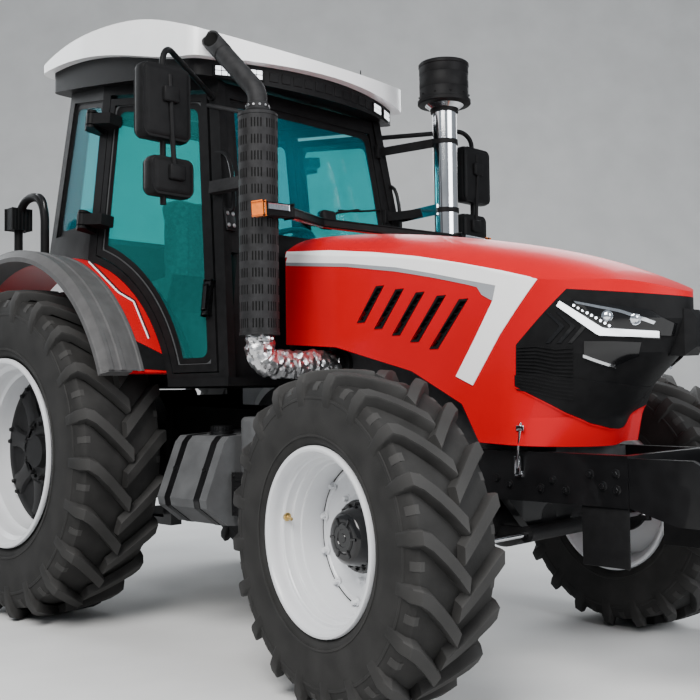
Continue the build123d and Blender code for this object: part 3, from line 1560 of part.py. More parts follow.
# Left-hand box with the access steps
STEP_BOX_OUT_Y = 560.0
STEP_BOX_LOW_Z = 600.0
STEP_BOX_TOP_Z = 1010.0
STEP_PLATE_T = 14.0
STEP_OUT_Y = 830.0
STEP_TREADS = (420.0, 690.0, 960.0)
STEP_TREAD_T = 26.0
with BuildPart() as access_steps:
    with BuildSketch(Plane.XY.offset(STEP_BOX_LOW_Z)):
        with Locations(((TANK_REAR_X + TANK_FRONT_X) / 2, (GEARBOX_HALF_W + STEP_BOX_OUT_Y) / 2)):
            Rectangle(TANK_FRONT_X - TANK_REAR_X, STEP_BOX_OUT_Y - GEARBOX_HALF_W)
    extrude(amount=STEP_BOX_TOP_Z - STEP_BOX_LOW_Z)
    for x in (TANK_REAR_X, TANK_FRONT_X - STEP_PLATE_T):
        with BuildSketch(Plane(origin=(x, 0, 0), x_dir=(0, 1, 0), z_dir=(1, 0, 0))):
            with BuildLine():
                Polyline(
                    (STEP_BOX_OUT_Y - 20, STEP_BOX_TOP_Z),
                    (STEP_OUT_Y - 40, STEP_BOX_TOP_Z),
                    (STEP_OUT_Y, STEP_TREADS[0]),
                    (STEP_OUT_Y - 190, STEP_TREADS[0]),
                    (STEP_BOX_OUT_Y - 20, STEP_BOX_LOW_Z + 60),
                    close=True,
                )
            make_face()
        extrude(amount=STEP_PLATE_T)
    for z in STEP_TREADS:
        with BuildSketch(Plane.XY.offset(z)):
            with Locations(((TANK_REAR_X + TANK_FRONT_X) / 2, STEP_OUT_Y - 110)):
                Rectangle(TANK_FRONT_X - TANK_REAR_X, 130)
        extrude(amount=STEP_TREAD_T)
save(access_steps.part, "access_steps")

# Mirrors on both sides: tubular arm, large head and wide-angle head
MIRROR_X = 190.0
MIRROR_ARM_R = 14.0
MIRROR_FOOT_R = 24.0
MIRROR_FOOT_T = 14.0
MIRROR_ROOT = (-112.0, 2700.0)
MIRROR_KNEE_Y = 1130.0
MIRROR_KNEE_Z = 2780.0
MIRROR_LOW_Z = 2040.0
MIRROR_DEPTH = 80.0
MIRROR_BIG = (1130.0, 2495.0, 250.0, 330.0)
MIRROR_SMALL = (1100.0, 2165.0, 220.0, 170.0)
MIRROR_CORNER_R = 36.0
with BuildPart() as mirrors:
    foot = Vector(MIRROR_ROOT[0], -door_half(*MIRROR_ROOT), MIRROR_ROOT[1])
    root = foot + DOOR_PLANE.z_dir * MIRROR_FOOT_T / 2
    knee = Vector(MIRROR_X, -MIRROR_KNEE_Y, MIRROR_KNEE_Z)
    with BuildLine():
        FilletPolyline(
            root,
            knee,
            (MIRROR_X, -MIRROR_KNEE_Y, MIRROR_LOW_Z),
            radius=STACK_BEND_R,
        )
    with BuildSketch(Plane(origin=root, z_dir=knee - root)):
        Circle(MIRROR_ARM_R)
    sweep()
    with BuildSketch(DOOR_PLANE):
        with Locations(on_door(*MIRROR_ROOT)):
            Circle(MIRROR_FOOT_R)
    extrude(amount=MIRROR_FOOT_T)
    for y, z, width, height in (MIRROR_BIG, MIRROR_SMALL):
        with BuildSketch(
            Plane(origin=(MIRROR_X - MIRROR_DEPTH / 2, -y, z), x_dir=(0, 1, 0), z_dir=(1, 0, 0))
        ):
            RectangleRounded(width, height, MIRROR_CORNER_R)
        extrude(amount=MIRROR_DEPTH)
    mirror(about=Plane.XZ)
save(mirrors.part, "mirrors")

# Work lamps on the fender rails, with the rails that carry them
RAIL_TUBE_R = 16.0
FENDER_RAIL_X = -1600.0
FENDER_RAIL_FRONT_X = -1290.0
FENDER_RAIL_Y = 900.0
FENDER_RAIL_TOP_Z = 2340.0
LAMP_SIZE = 110.0
LAMP_DEPTH = 80.0
with BuildPart() as fender_rails:
    foot_z = arch_z(FENDER_R - FENDER_T, FENDER_RAIL_X)
    with BuildLine():
        FilletPolyline(
            (FENDER_RAIL_X, -FENDER_RAIL_Y, foot_z),
            (FENDER_RAIL_X, -FENDER_RAIL_Y, FENDER_RAIL_TOP_Z),
            (FENDER_RAIL_FRONT_X, -FENDER_RAIL_Y, FENDER_RAIL_TOP_Z),
            (FENDER_RAIL_FRONT_X, -FENDER_RAIL_Y, arch_z(FENDER_R - FENDER_T, FENDER_RAIL_FRONT_X)),
            radius=STACK_BEND_R,
        )
    with BuildSketch(Plane(origin=(FENDER_RAIL_X, -FENDER_RAIL_Y, foot_z))):
        Circle(RAIL_TUBE_R)
    sweep()
    with BuildSketch(Plane.XZ):
        with Locations((REAR_AXLE_X, FENDER_Z)):
            Circle(FENDER_R)
    extrude(amount=FLARE_OUT_Y, both=True, mode=Mode.SUBTRACT)
    with BuildSketch(
        Plane(
            origin=(FENDER_RAIL_X - LAMP_DEPTH / 2, -FENDER_RAIL_Y, FENDER_RAIL_TOP_Z - LAMP_SIZE),
            x_dir=(0, 1, 0),
            z_dir=(1, 0, 0),
        )
    ):
        RectangleRounded(LAMP_SIZE, LAMP_SIZE, LAMP_SIZE / 8)
    extrude(amount=LAMP_DEPTH)
    mirror(about=Plane.XZ)
save(fender_rails.part, "fender_rails")

# Driver's seat: base, cushion and backrest
SEAT_X = -860.0
SEAT_BASE_W = 420.0
SEAT_CUSHION_Z = 1640.0
SEAT_CUSHION_T = 130.0
SEAT_CUSHION_L = 500.0
SEAT_CUSHION_W = 520.0
SEAT_BACK_T = 130.0
SEAT_BACK_H = 620.0
SEAT_EDGE_R = 40.0
SEAT_LEAN = 90.0
with BuildPart() as seat_base:
    with BuildSketch(Plane(origin=(SEAT_X, 0, FLOOR_TOP_Z))):
        RectangleRounded(SEAT_BASE_W, SEAT_BASE_W, SEAT_EDGE_R)
    extrude(amount=SEAT_CUSHION_Z - FLOOR_TOP_Z)
save(seat_base.part, "seat_base")

with BuildPart() as seat_cushion:
    with BuildSketch(Plane(origin=(SEAT_X, 0, SEAT_CUSHION_Z))):
        RectangleRounded(SEAT_CUSHION_L, SEAT_CUSHION_W, SEAT_EDGE_R)
    extrude(amount=SEAT_CUSHION_T)
save(seat_cushion.part, "seat_cushion")

with BuildPart() as seat_back:
    back_x = SEAT_X - SEAT_CUSHION_L / 2 + SEAT_BACK_T
    back_low = SEAT_CUSHION_Z + SEAT_CUSHION_T
    with BuildSketch(Plane.XZ):
        with BuildLine():
            Polyline(
                (back_x, back_low),
                (back_x - SEAT_BACK_T, back_low),
                (back_x - SEAT_BACK_T - SEAT_LEAN, back_low + SEAT_BACK_H),
                (back_x - SEAT_LEAN, back_low + SEAT_BACK_H),
                close=True,
            )
        make_face()
    extrude(amount=SEAT_CUSHION_W / 2 - SEAT_EDGE_R, both=True)
save(seat_back.part, "seat_back")

# Dash, steering column and right-hand console
WHEEL_HUB = Vector(-300, 0, 1985)
WHEEL_LEAN = Vector(-0.5, 0, 0.87)
WHEEL_R = 200.0
WHEEL_RIM_R = 16.0
WHEEL_SPOKE_W = 34.0
WHEEL_SPOKE_T = 16.0
WHEEL_HUB_R = 42.0
WHEEL_HUB_H = 46.0
COLUMN_R = 32.0
COLUMN_L = 120.0
wheel_plane = Plane(origin=WHEEL_HUB, x_dir=(0, 1, 0), z_dir=WHEEL_LEAN)
DASH_FRONT_X = FRONT_PANEL_X - WALL_T
DASH_HALF_W = 210.0
CONSOLE_IN_Y = 270.0
with BuildPart() as dash:
    with BuildSketch(Plane.XZ):
        with BuildLine():
            Polyline(
                (DASH_FRONT_X, FLOOR_TOP_Z),
                (DASH_FRONT_X, 1868),
                (-45, 1868),
                (-90, 1940),
                (-260, 1890),
                (-140, 1640),
                (-90, FLOOR_TOP_Z),
                close=True,
            )
        make_face()
    extrude(amount=DASH_HALF_W, both=True)
    with BuildSketch(Plane.XZ.offset(CONSOLE_IN_Y)):
        with BuildLine():
            Polyline(
                (-560, FLOOR_TOP_Z),
                (-560, 1640),
                (-480, 1830),
                (-1000, 1770),
                (-1320, 1740),
                (-1320, FLOOR_TOP_Z),
                close=True,
            )
        make_face()
    extrude(amount=INNER_WALL_Y - WALL_T - CONSOLE_IN_Y)
    with BuildSketch(wheel_plane.offset(-WHEEL_HUB_H / 2 - RUNNING_GAP)):
        Circle(COLUMN_R)
    extrude(amount=-COLUMN_L)
save(dash.part, "dash_and_console")

# Steering wheel on its column
with BuildPart() as steering_wheel:
    with BuildSketch(Plane(origin=WHEEL_HUB, x_dir=(0, 1, 0), z_dir=wheel_plane.y_dir)):
        with Locations((WHEEL_R, 0)):
            RegularPolygon(WHEEL_RIM_R, 8)
    revolve(axis=Axis(WHEEL_HUB, wheel_plane.z_dir))
    with BuildSketch(wheel_plane):
        for turn in (0, 120, 240):
            with Locations(Location((0, 0), turn)):
                with Locations((0, -WHEEL_R / 2)):
                    Rectangle(WHEEL_SPOKE_W, WHEEL_R)
    extrude(amount=WHEEL_SPOKE_T / 2, both=True)
    with BuildSketch(wheel_plane.offset(-WHEEL_HUB_H / 2)):
        Circle(WHEEL_HUB_R)
    extrude(amount=WHEEL_HUB_H)
save(steering_wheel.part, "steering_wheel")

# Front carrier bolted to the front frame
CARRIER_LOW_Z = 690.0
CARRIER_TOP_Z = 930.0
CARRIER_NOSE_Z = 860.0
CARRIER_PLATE_T = 30.0
TOW_PIN_X = 2330.0
TOW_PIN_R = 16.0
with BuildPart() as front_carrier:
    for y in (CARRIER_HALF_W - CARRIER_T, -CARRIER_HALF_W):
        with BuildSketch(Plane.XZ.offset(-y)):
            with BuildLine():
                Polyline(
                    (RAIL_FRONT_X, RAIL_LOW_Z),
                    (RAIL_FRONT_X, CARRIER_TOP_Z),
                    (CARRIER_FRONT_X - 120, CARRIER_TOP_Z),
                    (CARRIER_FRONT_X, CARRIER_NOSE_Z),
                    (CARRIER_FRONT_X, CARRIER_LOW_Z),
                    (CARRIER_FRONT_X - 180, CARRIER_LOW_Z),
                    close=True,
                )
            make_face()
        extrude(amount=-CARRIER_T)
    for x in (RAIL_FRONT_X, CARRIER_FRONT_X - CARRIER_PLATE_T):
        low = RAIL_LOW_Z + 20
        with BuildSketch(Plane(origin=(x, 0, low), x_dir=(0, 1, 0), z_dir=(1, 0, 0))):
            with Locations((0, (CARRIER_NOSE_Z - low) / 2)):
                Rectangle(2 * CARRIER_HALF_W - CARRIER_T, CARRIER_NOSE_Z - low)
        extrude(amount=CARRIER_PLATE_T)
    for z in (RAIL_LOW_Z + 20, CARRIER_NOSE_Z - CARRIER_PLATE_T):
        with BuildSketch(Plane.XY.offset(z)):
            with Locations(((RAIL_FRONT_X + CARRIER_FRONT_X) / 2, 0)):
                Rectangle(CARRIER_FRONT_X - RAIL_FRONT_X, 2 * CARRIER_HALF_W - CARRIER_T)
        extrude(amount=CARRIER_PLATE_T)
    with BuildSketch(Plane.XY.offset(RAIL_LOW_Z)):
        with Locations((TOW_PIN_X, 0)):
            Circle(TOW_PIN_R)
    extrude(amount=CARRIER_TOP_Z - RAIL_LOW_Z, mode=Mode.SUBTRACT)
save(front_carrier.part, "front_carrier")

# Hitch frame behind the axle: side blocks, crossbar, pivot ears and the top-link ears
CASE_REAR_X = REAR_AXLE_X - AXLE_CASE_HALF_L
HITCH_T = 30.0
HITCH_IN_Y = 200.0
HITCH_OUT_Y = 445.0
HITCH_LOW_Z = 425.0
HITCH_TOP_Z = 780.0
HITCH_BAR_H = 60.0
EAR_T = 20.0
LINK_PIN_R = 18.0
TOP_PIN_X = -1690.0
TOP_PIN_Z = 930.0
TOP_PIN_R = 12.5
TOP_EAR_IN = 32.0
with BuildPart() as hitch_frame:
    with BuildSketch(Plane(origin=(CASE_REAR_X, 0, 0), x_dir=(0, 1, 0), z_dir=(1, 0, 0))):
        with BuildLine():
            Polyline(
                (0, HITCH_LOW_Z),
                (HITCH_OUT_Y, HITCH_LOW_Z),
                (HITCH_OUT_Y, HITCH_TOP_Z),
                (HITCH_IN_Y, HITCH_TOP_Z),
                (HITCH_IN_Y, HITCH_LOW_Z + HITCH_BAR_H),
                (0, HITCH_LOW_Z + HITCH_BAR_H),
                close=True,
            )
        make_face()
    extrude(amount=-HITCH_T)
    for y in (LINK_HALF_Y - LINK_T / 2 - SWING_GAP - EAR_T, LINK_HALF_Y + LINK_T / 2 + SWING_GAP):
        with BuildSketch(Plane.XZ.offset(-y)):
            with BuildLine():
                Polyline(
                    (CASE_REAR_X - HITCH_T + 4, LINK_PIVOT_Z - 70),
                    (CASE_REAR_X - HITCH_T + 4, LINK_PIVOT_Z + 70),
                    (LINK_PIVOT_X - 20, LINK_PIVOT_Z + 30),
                    (LINK_PIVOT_X - 20, LINK_PIVOT_Z - 30),
                    close=True,
                )
            make_face()
            with Locations((LINK_PIVOT_X, LINK_PIVOT_Z)):
                Circle(LINK_PIN_R + 12)
        extrude(amount=-EAR_T)
    with BuildSketch(Plane.XZ.offset(-LINK_HALF_Y)):
        with Locations((LINK_PIVOT_X, LINK_PIVOT_Z)):
            Circle(LINK_PIN_R)
    extrude(amount=LINK_T / 2 + SWING_GAP + EAR_T / 2, both=True)
    with BuildSketch(Plane.XZ.offset(-TOP_EAR_IN)):
        with BuildLine():
            Polyline(
                (CASE_REAR_X, TOP_PIN_Z - 60),
                (CASE_REAR_X, TOP_PIN_Z + 60),
                (TOP_PIN_X, TOP_PIN_Z + 28),
                (TOP_PIN_X - 28, TOP_PIN_Z),
                (TOP_PIN_X, TOP_PIN_Z - 28),
                close=True,
            )
        make_face()
    extrude(amount=-EAR_T)
    mirror(about=Plane.XZ)
    with BuildSketch(Plane.XZ):
        with Locations((TOP_PIN_X, TOP_PIN_Z)):
            Circle(TOP_PIN_R)
    extrude(amount=TOP_EAR_IN + EAR_T, both=True)
save(hitch_frame.part, "hitch_frame")

# Lift housing with the bore of the rockshaft
LIFT_HOUSE_HALF_W = 295.0
LIFT_HOUSE_REAR_X = -1640.0
LIFT_HOUSE_LOW_Z = 1040.0
LIFT_HOUSE_TOP_Z = 1225.0
ROCKSHAFT_R = 35.0
with BuildPart() as lift_housing:
    with BuildSketch(Plane.XZ):
        with BuildLine():
            Polyline(
                (CASE_REAR_X, LIFT_HOUSE_LOW_Z),
                (CASE_REAR_X, LIFT_HOUSE_TOP_Z),
                (LIFT_HOUSE_REAR_X + 50, LIFT_HOUSE_TOP_Z),
                (LIFT_HOUSE_REAR_X, LIFT_HOUSE_TOP_Z - 40),
                (LIFT_HOUSE_REAR_X, LIFT_PIVOT_Z - 60),
                (CASE_REAR_X - 60, LIFT_HOUSE_LOW_Z),
                close=True,
            )
        make_face()
        with Locations((LINK_PIVOT_X, LIFT_PIVOT_Z)):
            Circle(ROCKSHAFT_R + RUNNING_GAP, mode=Mode.SUBTRACT)
    extrude(amount=LIFT_HOUSE_HALF_W, both=True)
save(lift_housing.part, "lift_housing")

# Rockshaft with the two lift arms
LIFT_ARM_Y = 305.0
LIFT_PIN_R = 14.0
ROD_Y = LIFT_ARM_Y + LINK_T + SWING_GAP
LIFT_TIP_X = LINK_PIVOT_X - LIFT_ARM
with BuildPart() as lift_arms:
    with BuildSketch(Plane.XZ):
        with Locations((LINK_PIVOT_X, LIFT_PIVOT_Z)):
            Circle(ROCKSHAFT_R)
    extrude(amount=LIFT_ARM_Y + LINK_T / 2, both=True)
    with BuildSketch(Plane.XZ.offset(-LIFT_ARM_Y)):
        with Locations((LINK_PIVOT_X, LIFT_PIVOT_Z)):
            Circle(ROCKSHAFT_R + 24)
        with Locations((LIFT_TIP_X, LIFT_PIVOT_Z)):
            Circle(LIFT_PIN_R + 16)
        with BuildLine():
            Polyline(
                (LINK_PIVOT_X, LIFT_PIVOT_Z + 50),
                (LINK_PIVOT_X, LIFT_PIVOT_Z - 50),
                (LIFT_TIP_X, LIFT_PIVOT_Z - 28),
                (LIFT_TIP_X, LIFT_PIVOT_Z + 28),
                close=True,
            )
        make_face()
    extrude(amount=-LINK_T)
    with BuildSketch(Plane.XZ.offset(-LIFT_ARM_Y)):
        with Locations((LIFT_TIP_X, LIFT_PIVOT_Z)):
            Circle(LIFT_PIN_R)
    extrude(amount=-(LINK_T + SWING_GAP + LINK_T))
    mirror(about=Plane.XZ)
save(lift_arms.part, "lift_arms")

# Lift rods between the lift arms and the lower links
with BuildPart() as lift_rods:
    with BuildSketch(Plane.XZ.offset(-ROD_Y)):
        with Locations((LIFT_TIP_X, (LIFT_PIVOT_Z + LINK_PIVOT_Z) / 2)):
            Rectangle(LINK_T + 6, LIFT_PIVOT_Z - LINK_PIVOT_Z)
        for z in (LIFT_PIVOT_Z, LINK_PIVOT_Z):
            with Locations((LIFT_TIP_X, z)):
                Circle(LIFT_PIN_R + 14)
        for z in (LIFT_PIVOT_Z, LINK_PIVOT_Z):
            with Locations((LIFT_TIP_X, z)):
                Circle(LIFT_PIN_R + RUNNING_GAP, mode=Mode.SUBTRACT)
    extrude(amount=-(LINK_T - SWING_GAP))
    mirror(about=Plane.XZ)
save(lift_rods.part, "lift_rods")

# Lower links with their end eyes and the pins of the lift rods
with BuildPart() as lower_links:
    with BuildSketch(Plane.XZ.offset(-(LINK_HALF_Y - LINK_T / 2))):
        with BuildLine():
            Polyline(
                (LINK_PIVOT_X, LINK_PIVOT_Z + 28),
                (LINK_END_X, LINK_PIVOT_Z + 26),
                (LINK_END_X, LINK_PIVOT_Z - 26),
                (LINK_PIVOT_X, LINK_PIVOT_Z - 28),
                close=True,
            )
        make_face()
        with Locations((LINK_PIVOT_X, LINK_PIVOT_Z)):
            Circle(LINK_EYE_R - 4)
        with Locations((LINK_END_X, LINK_PIVOT_Z)):
            Circle(LINK_EYE_R)
        with Locations((LINK_END_X, LINK_PIVOT_Z)):
            Circle(LINK_BORE_R, mode=Mode.SUBTRACT)
        with Locations((LINK_PIVOT_X, LINK_PIVOT_Z)):
            Circle(LINK_PIN_R + RUNNING_GAP, mode=Mode.SUBTRACT)
    extrude(amount=-LINK_T)
    with BuildSketch(Plane.XZ.offset(-(LINK_HALF_Y - LINK_T / 2))):
        with Locations((LIFT_TIP_X, LINK_PIVOT_Z)):
            Circle(LIFT_PIN_R)
    extrude(amount=LINK_HALF_Y - LINK_T / 2 - ROD_Y)
    mirror(about=Plane.XZ)
save(lower_links.part, "lower_links")

# Top link, stowed at a slant on a stay from the lift housing
TOP_LINK_END = (-2130.0, 1250.0)
TOP_LINK_R = 22.0
TOP_EYE_WALL = 18.0
TOP_EYE_HALF_W = 24.0
TOP_STAY_Z = 1138.0
TOP_STAY_T = 24.0
with BuildPart() as top_link:
    pin = Vector(TOP_PIN_X, 0, TOP_PIN_Z)
    tip = Vector(TOP_LINK_END[0], 0, TOP_LINK_END[1])
    with BuildSketch(Plane(origin=pin, x_dir=(0, 1, 0), z_dir=tip - pin)):
        Circle(TOP_LINK_R)
    extrude(amount=(tip - pin).length)
    for at in ((TOP_PIN_X, TOP_PIN_Z), TOP_LINK_END):
        with BuildSketch(Plane.XZ):
            with Locations(at):
                Circle(TOP_PIN_R + TOP_EYE_WALL)
        extrude(amount=TOP_EYE_HALF_W, both=True)
    for at in ((TOP_PIN_X, TOP_PIN_Z), TOP_LINK_END):
        with BuildSketch(Plane.XZ):
            with Locations(at):
                Circle(TOP_PIN_R + RUNNING_GAP)
        extrude(amount=TOP_EYE_HALF_W, both=True, mode=Mode.SUBTRACT)
    stay = (TOP_STAY_Z - TOP_PIN_Z) / (TOP_LINK_END[1] - TOP_PIN_Z)
    stay_x = TOP_PIN_X + stay * (TOP_LINK_END[0] - TOP_PIN_X)
    with BuildSketch(Plane(origin=(LIFT_HOUSE_REAR_X, 0, TOP_STAY_Z), x_dir=(0, 1, 0), z_dir=(-1, 0, 0))):
        Rectangle(TOP_STAY_T, TOP_STAY_T)
    extrude(amount=LIFT_HOUSE_REAR_X - stay_x)
save(top_link.part, "top_link")

# Drawbar under the hitch frame and the power take-off stub
DRAWBAR_FRONT_X = -1300.0
DRAWBAR_REAR_X = -2250.0
DRAWBAR_HALF_W = 40.0
DRAWBAR_T = 45.0
DRAWBAR_HOLE_R = 16.0
DRAWBAR_HOLE_X = -2200.0
PTO_R = 17.45
PTO_Z = 710.0
PTO_L = 90.0
with BuildPart() as drawbar:
    with BuildSketch(Plane.XY.offset(HITCH_LOW_Z)):
        with Locations(((DRAWBAR_FRONT_X + DRAWBAR_REAR_X) / 2, 0)):
            Rectangle(DRAWBAR_FRONT_X - DRAWBAR_REAR_X, 2 * DRAWBAR_HALF_W)
        with Locations((DRAWBAR_HOLE_X, 0)):
            Circle(DRAWBAR_HOLE_R, mode=Mode.SUBTRACT)
    extrude(amount=-DRAWBAR_T)
    with BuildSketch(Plane.XY.offset(HITCH_LOW_Z)):
        with Locations((DRAWBAR_FRONT_X - DRAWBAR_HALF_W, 0)):
            Rectangle(2 * DRAWBAR_HALF_W, 2 * DRAWBAR_HALF_W)
    extrude(amount=GEARBOX_LOW_Z - HITCH_LOW_Z - 14)
save(drawbar.part, "drawbar")

with BuildPart() as pto_shaft:
    with BuildSketch(Plane(origin=(CASE_REAR_X, 0, PTO_Z), x_dir=(0, 1, 0), z_dir=(1, 0, 0))):
        Circle(PTO_R)
    extrude(amount=-PTO_L)
save(pto_shaft.part, "pto_shaft")
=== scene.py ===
import math

import bmesh
import bpy
from mathutils import Matrix, Vector, noise
from mathutils.bvhtree import BVHTree


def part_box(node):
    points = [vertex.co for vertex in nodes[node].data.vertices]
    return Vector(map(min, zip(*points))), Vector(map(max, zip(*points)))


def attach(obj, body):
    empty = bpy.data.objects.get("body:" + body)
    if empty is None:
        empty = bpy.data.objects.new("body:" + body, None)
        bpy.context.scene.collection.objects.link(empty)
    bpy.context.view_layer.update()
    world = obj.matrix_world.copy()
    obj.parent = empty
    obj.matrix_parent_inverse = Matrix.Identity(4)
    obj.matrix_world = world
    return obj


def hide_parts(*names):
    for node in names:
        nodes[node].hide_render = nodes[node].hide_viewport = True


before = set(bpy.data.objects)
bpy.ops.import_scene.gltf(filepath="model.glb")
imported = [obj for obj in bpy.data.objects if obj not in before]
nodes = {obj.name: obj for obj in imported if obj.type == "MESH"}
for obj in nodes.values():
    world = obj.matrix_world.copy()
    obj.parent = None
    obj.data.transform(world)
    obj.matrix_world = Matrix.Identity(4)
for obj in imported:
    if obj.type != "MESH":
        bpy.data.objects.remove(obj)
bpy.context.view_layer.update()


def vec(x, y, z):
    return Vector((x, y, z))


def spoke(turn):
    return vec(math.cos(turn), math.sin(turn), 0)


def milli(text):
    # Rows of numbers given in thousandths, with a comma between rows.
    return [[float(n) / 1000 for n in row.split()] for row in text.split(",")]


X, Y, UP = AXES = vec(1, 0, 0), vec(0, 1, 0), vec(0, 0, 1)
MIRROR = vec(1, -1, 1)
HANDS = (("right", -1), ("left", 1))


def both(dress):
    for hand, side in HANDS:
        dress(hand, side)


# Materials
# Look: slot, colour, roughness, metal, coat, spread and scale of the mottle, bump, grain of the bump, specular
LOOKS = {
    "rubber": ("tyre", (0.02, 0.0195, 0.019), 0.66, 0, 0, 0.3, 9, 0.25, 160, 0.18),
    "white_paint": ("rim_white", (0.66, 0.67, 0.69), 0.35, 0, 0.3, 0.03, 5),
    "red_paint": ("hood_red", (0.5, 0.0, 0.006), 0.38, 0, 0.1, 0.05, 3, 0.03, 400, 0.12),
    "black_paint": ("chassis_black", (0.005, 0.005, 0.0055), 0.32, 0, 0.25, 0.3, 14, 0.06, 220, 0.18),
    "black_cast": ("hub_black", (0.008, 0.008, 0.0085), 0.5, 0, 0, 0.4, 20, 0.5, 140, 0.18),
    "black_plastic": ("box_black", (0.008, 0.008, 0.0085), 0.48, 0, 0, 0.2, 24, 0.18, 420, 0.07),
    "black_gloss": ("nose_black", (0.004, 0.004, 0.0045), 0.16, 0, 0.3, 0.2, 8, 0, 220, 0.35),
    "grey_plastic": ("flare_grey", (0.072, 0.071, 0.072), 0.55, 0, 0, 0.14, 16, 0.22, 380, 0.18),
    "tank": ("tank_grey", (0.085, 0.087, 0.09), 0.5, 0, 0, 0.16, 10, 0.25, 300, 0.18),
    "engine": ("engine_grey", (0.035, 0.035, 0.037), 0.6, 0, 0, 0.3, 18, 0.5, 90, 0.18),
    "chrome": ("intake_chrome", (0.72, 0.73, 0.75), 0.12, 1, 0, 0.05, 6),
    "steel": ("rod_steel", (0.42, 0.42, 0.43), 0.34, 1, 0, 0.2, 30, 0.1),
    "brass": ("rod_steel", (0.6, 0.42, 0.16), 0.35, 1, 0, 0.2, 60),
    "foil": ("intake_chrome", (0.62, 0.62, 0.63), 0.3, 1, 0, 0.15, 26, 0.9, 45),
    "heat_black": ("exhaust_black", (0.016, 0.016, 0.017), 0.6, 0, 0, 0.35, 25, 0.3, 260, 0.18),
    # Near-black for the inside of openings and gaps: painted shade.
    "opening_shade": ("chassis_black", (0.003, 0.003, 0.003), 0.9, 0, 0, 0.3, 40, 0, 220, 0.18),
    "roof": ("roof_white", (0.86, 0.87, 0.88), 0.34, 0, 0.3, 0.03, 4, 0.04),
    "trim": ("trim_dark", (0.085, 0.087, 0.09), 0.6, 0, 0, 0.2, 30, 0.3, 300, 0.18),
    "seal": ("trim_dark", (0.05, 0.052, 0.054), 0.6, 0, 0, 0.15, 30, 0.15, 220, 0.18),
    "stripe": ("rim_white", (0.93, 0.93, 0.93), 0.35, 0, 0, 0.02, 8),
    "stripe_grey": ("tank_grey", (0.28, 0.29, 0.31), 0.4, 0, 0, 0.06, 8),
    "stripe_black": ("nose_black", (0.012, 0.012, 0.013), 0.35, 0, 0, 0.2, 8),
    "amber": ("lamp_clear", (0.85, 0.2, 0.02), 0.2, 0, 0.6, 0.1, 60),
    "red_lens": ("lamp_clear", (0.5, 0.01, 0.01), 0.2, 0, 0.6, 0.1, 60),
    "reflector": ("intake_chrome", (0.75, 0.78, 0.82), 0.14, 1, 0, 0.1, 90),
    "lit": ("lamp_clear", (0.95, 0.96, 1.0), 0.3, 0, 0, 0.02, 50),
    "fabric": ("seat_fabric", (0.085, 0.087, 0.092), 0.85, 0, 0, 0.35, 60, 0.7, 520, 0.18),
    "mirror_face": ("intake_chrome", (0.6, 0.62, 0.64), 0.05, 1, 0, 0.04, 6),
    "floor": (None, (0.66, 0.66, 0.655), 0.75, 0, 0, 0.05, 2.0, 0.1, 60),
}
GLASS_CLEAR = 0.86
NODE_LOOKS = {
    "rubber": "front_tyre_* rear_tyre_*",
    "white_paint": "front_rim_* rear_rim_*",
    "black_cast": "front_hub_* rear_hub_* knuckle_* front_axle_beam gearbox_housing rear_axle_trumpets lift_housing",
    "black_paint": "front_frame front_drive_shaft front_carrier hitch_frame lift_arms lift_rods lower_links top_link "
                   "drawbar fender_rails",
    "engine": "engine_block cooler_pack",
    "chrome": "steering_rod intake_stack",
    "steel": "pto_shaft",
    "red_paint": "hood fenders",
    "black_plastic": "nose_panel battery_box access_steps mirrors hood_bulkhead roof_base cab_frame cab_floor door_* "
                     "door_hinges",
    "black_gloss": "headlamps",
    "trim": "dash_and_console seat_base steering_wheel",
    "glass_teal": "door_glass_*",
    "glass_blue": "cab_glass",
    "roof": "roof_cap",
    "grey_plastic": "fender_flares",
    "heat_black": "exhaust_stack",
    "tank": "fuel_tank side_tank",
    "fabric": "seat_cushion seat_back",
}


def add_node(tree, kind, **values):
    made = tree.nodes.new("ShaderNode" + kind)
    for key, value in values.items():
        made.inputs[key.replace("_", " ")].default_value = value
    return made


def shader(name, colour, rough, metal, coat, spread, scale, bump=0, grain=220, specular=0.5):
    # Principled surface with a mottled colour, a roughness that varies with it and a fine bump.
    mat = bpy.data.materials.new(name)
    mat.use_nodes = True
    tree = mat.node_tree
    join = tree.links.new
    surface = tree.nodes["Principled BSDF"].inputs
    place = add_node(tree, "TexCoord").outputs["Object"]
    mottle = add_node(tree, "TexNoise", Scale=scale, Detail=6.0)
    join(place, mottle.inputs["Vector"])
    tint = add_node(tree, "ValToRGB")
    for stop, at, share in zip(tint.color_ramp.elements, (0.3, 0.7), (1 - spread, 1 + spread)):
        stop.position = at
        stop.color = (*[min(c * share, 1.0) for c in colour], 1)
    join(mottle.outputs["Fac"], tint.inputs["Fac"])
    join(tint.outputs["Color"], surface["Base Color"])
    dull = add_node(tree, "MapRange", To_Min=max(rough - 0.08, 0.02), To_Max=min(rough + 0.08, 1.0))
    join(mottle.outputs["Fac"], dull.inputs["Value"])
    join(dull.outputs["Result"], surface["Roughness"])
    surface["Metallic"].default_value = metal
    surface["Coat Weight"].default_value = coat
    surface["Coat Roughness"].default_value = 0.05
    surface["Specular IOR Level"].default_value = specular
    if bump:
        speck = add_node(tree, "TexNoise", Scale=grain, Detail=3.0)
        relief = add_node(tree, "Bump", Strength=bump, Distance=0.002)
        join(place, speck.inputs["Vector"])
        join(speck.outputs["Fac"], relief.inputs["Height"])
        join(relief.outputs["Normal"], surface["Normal"])
    return mat


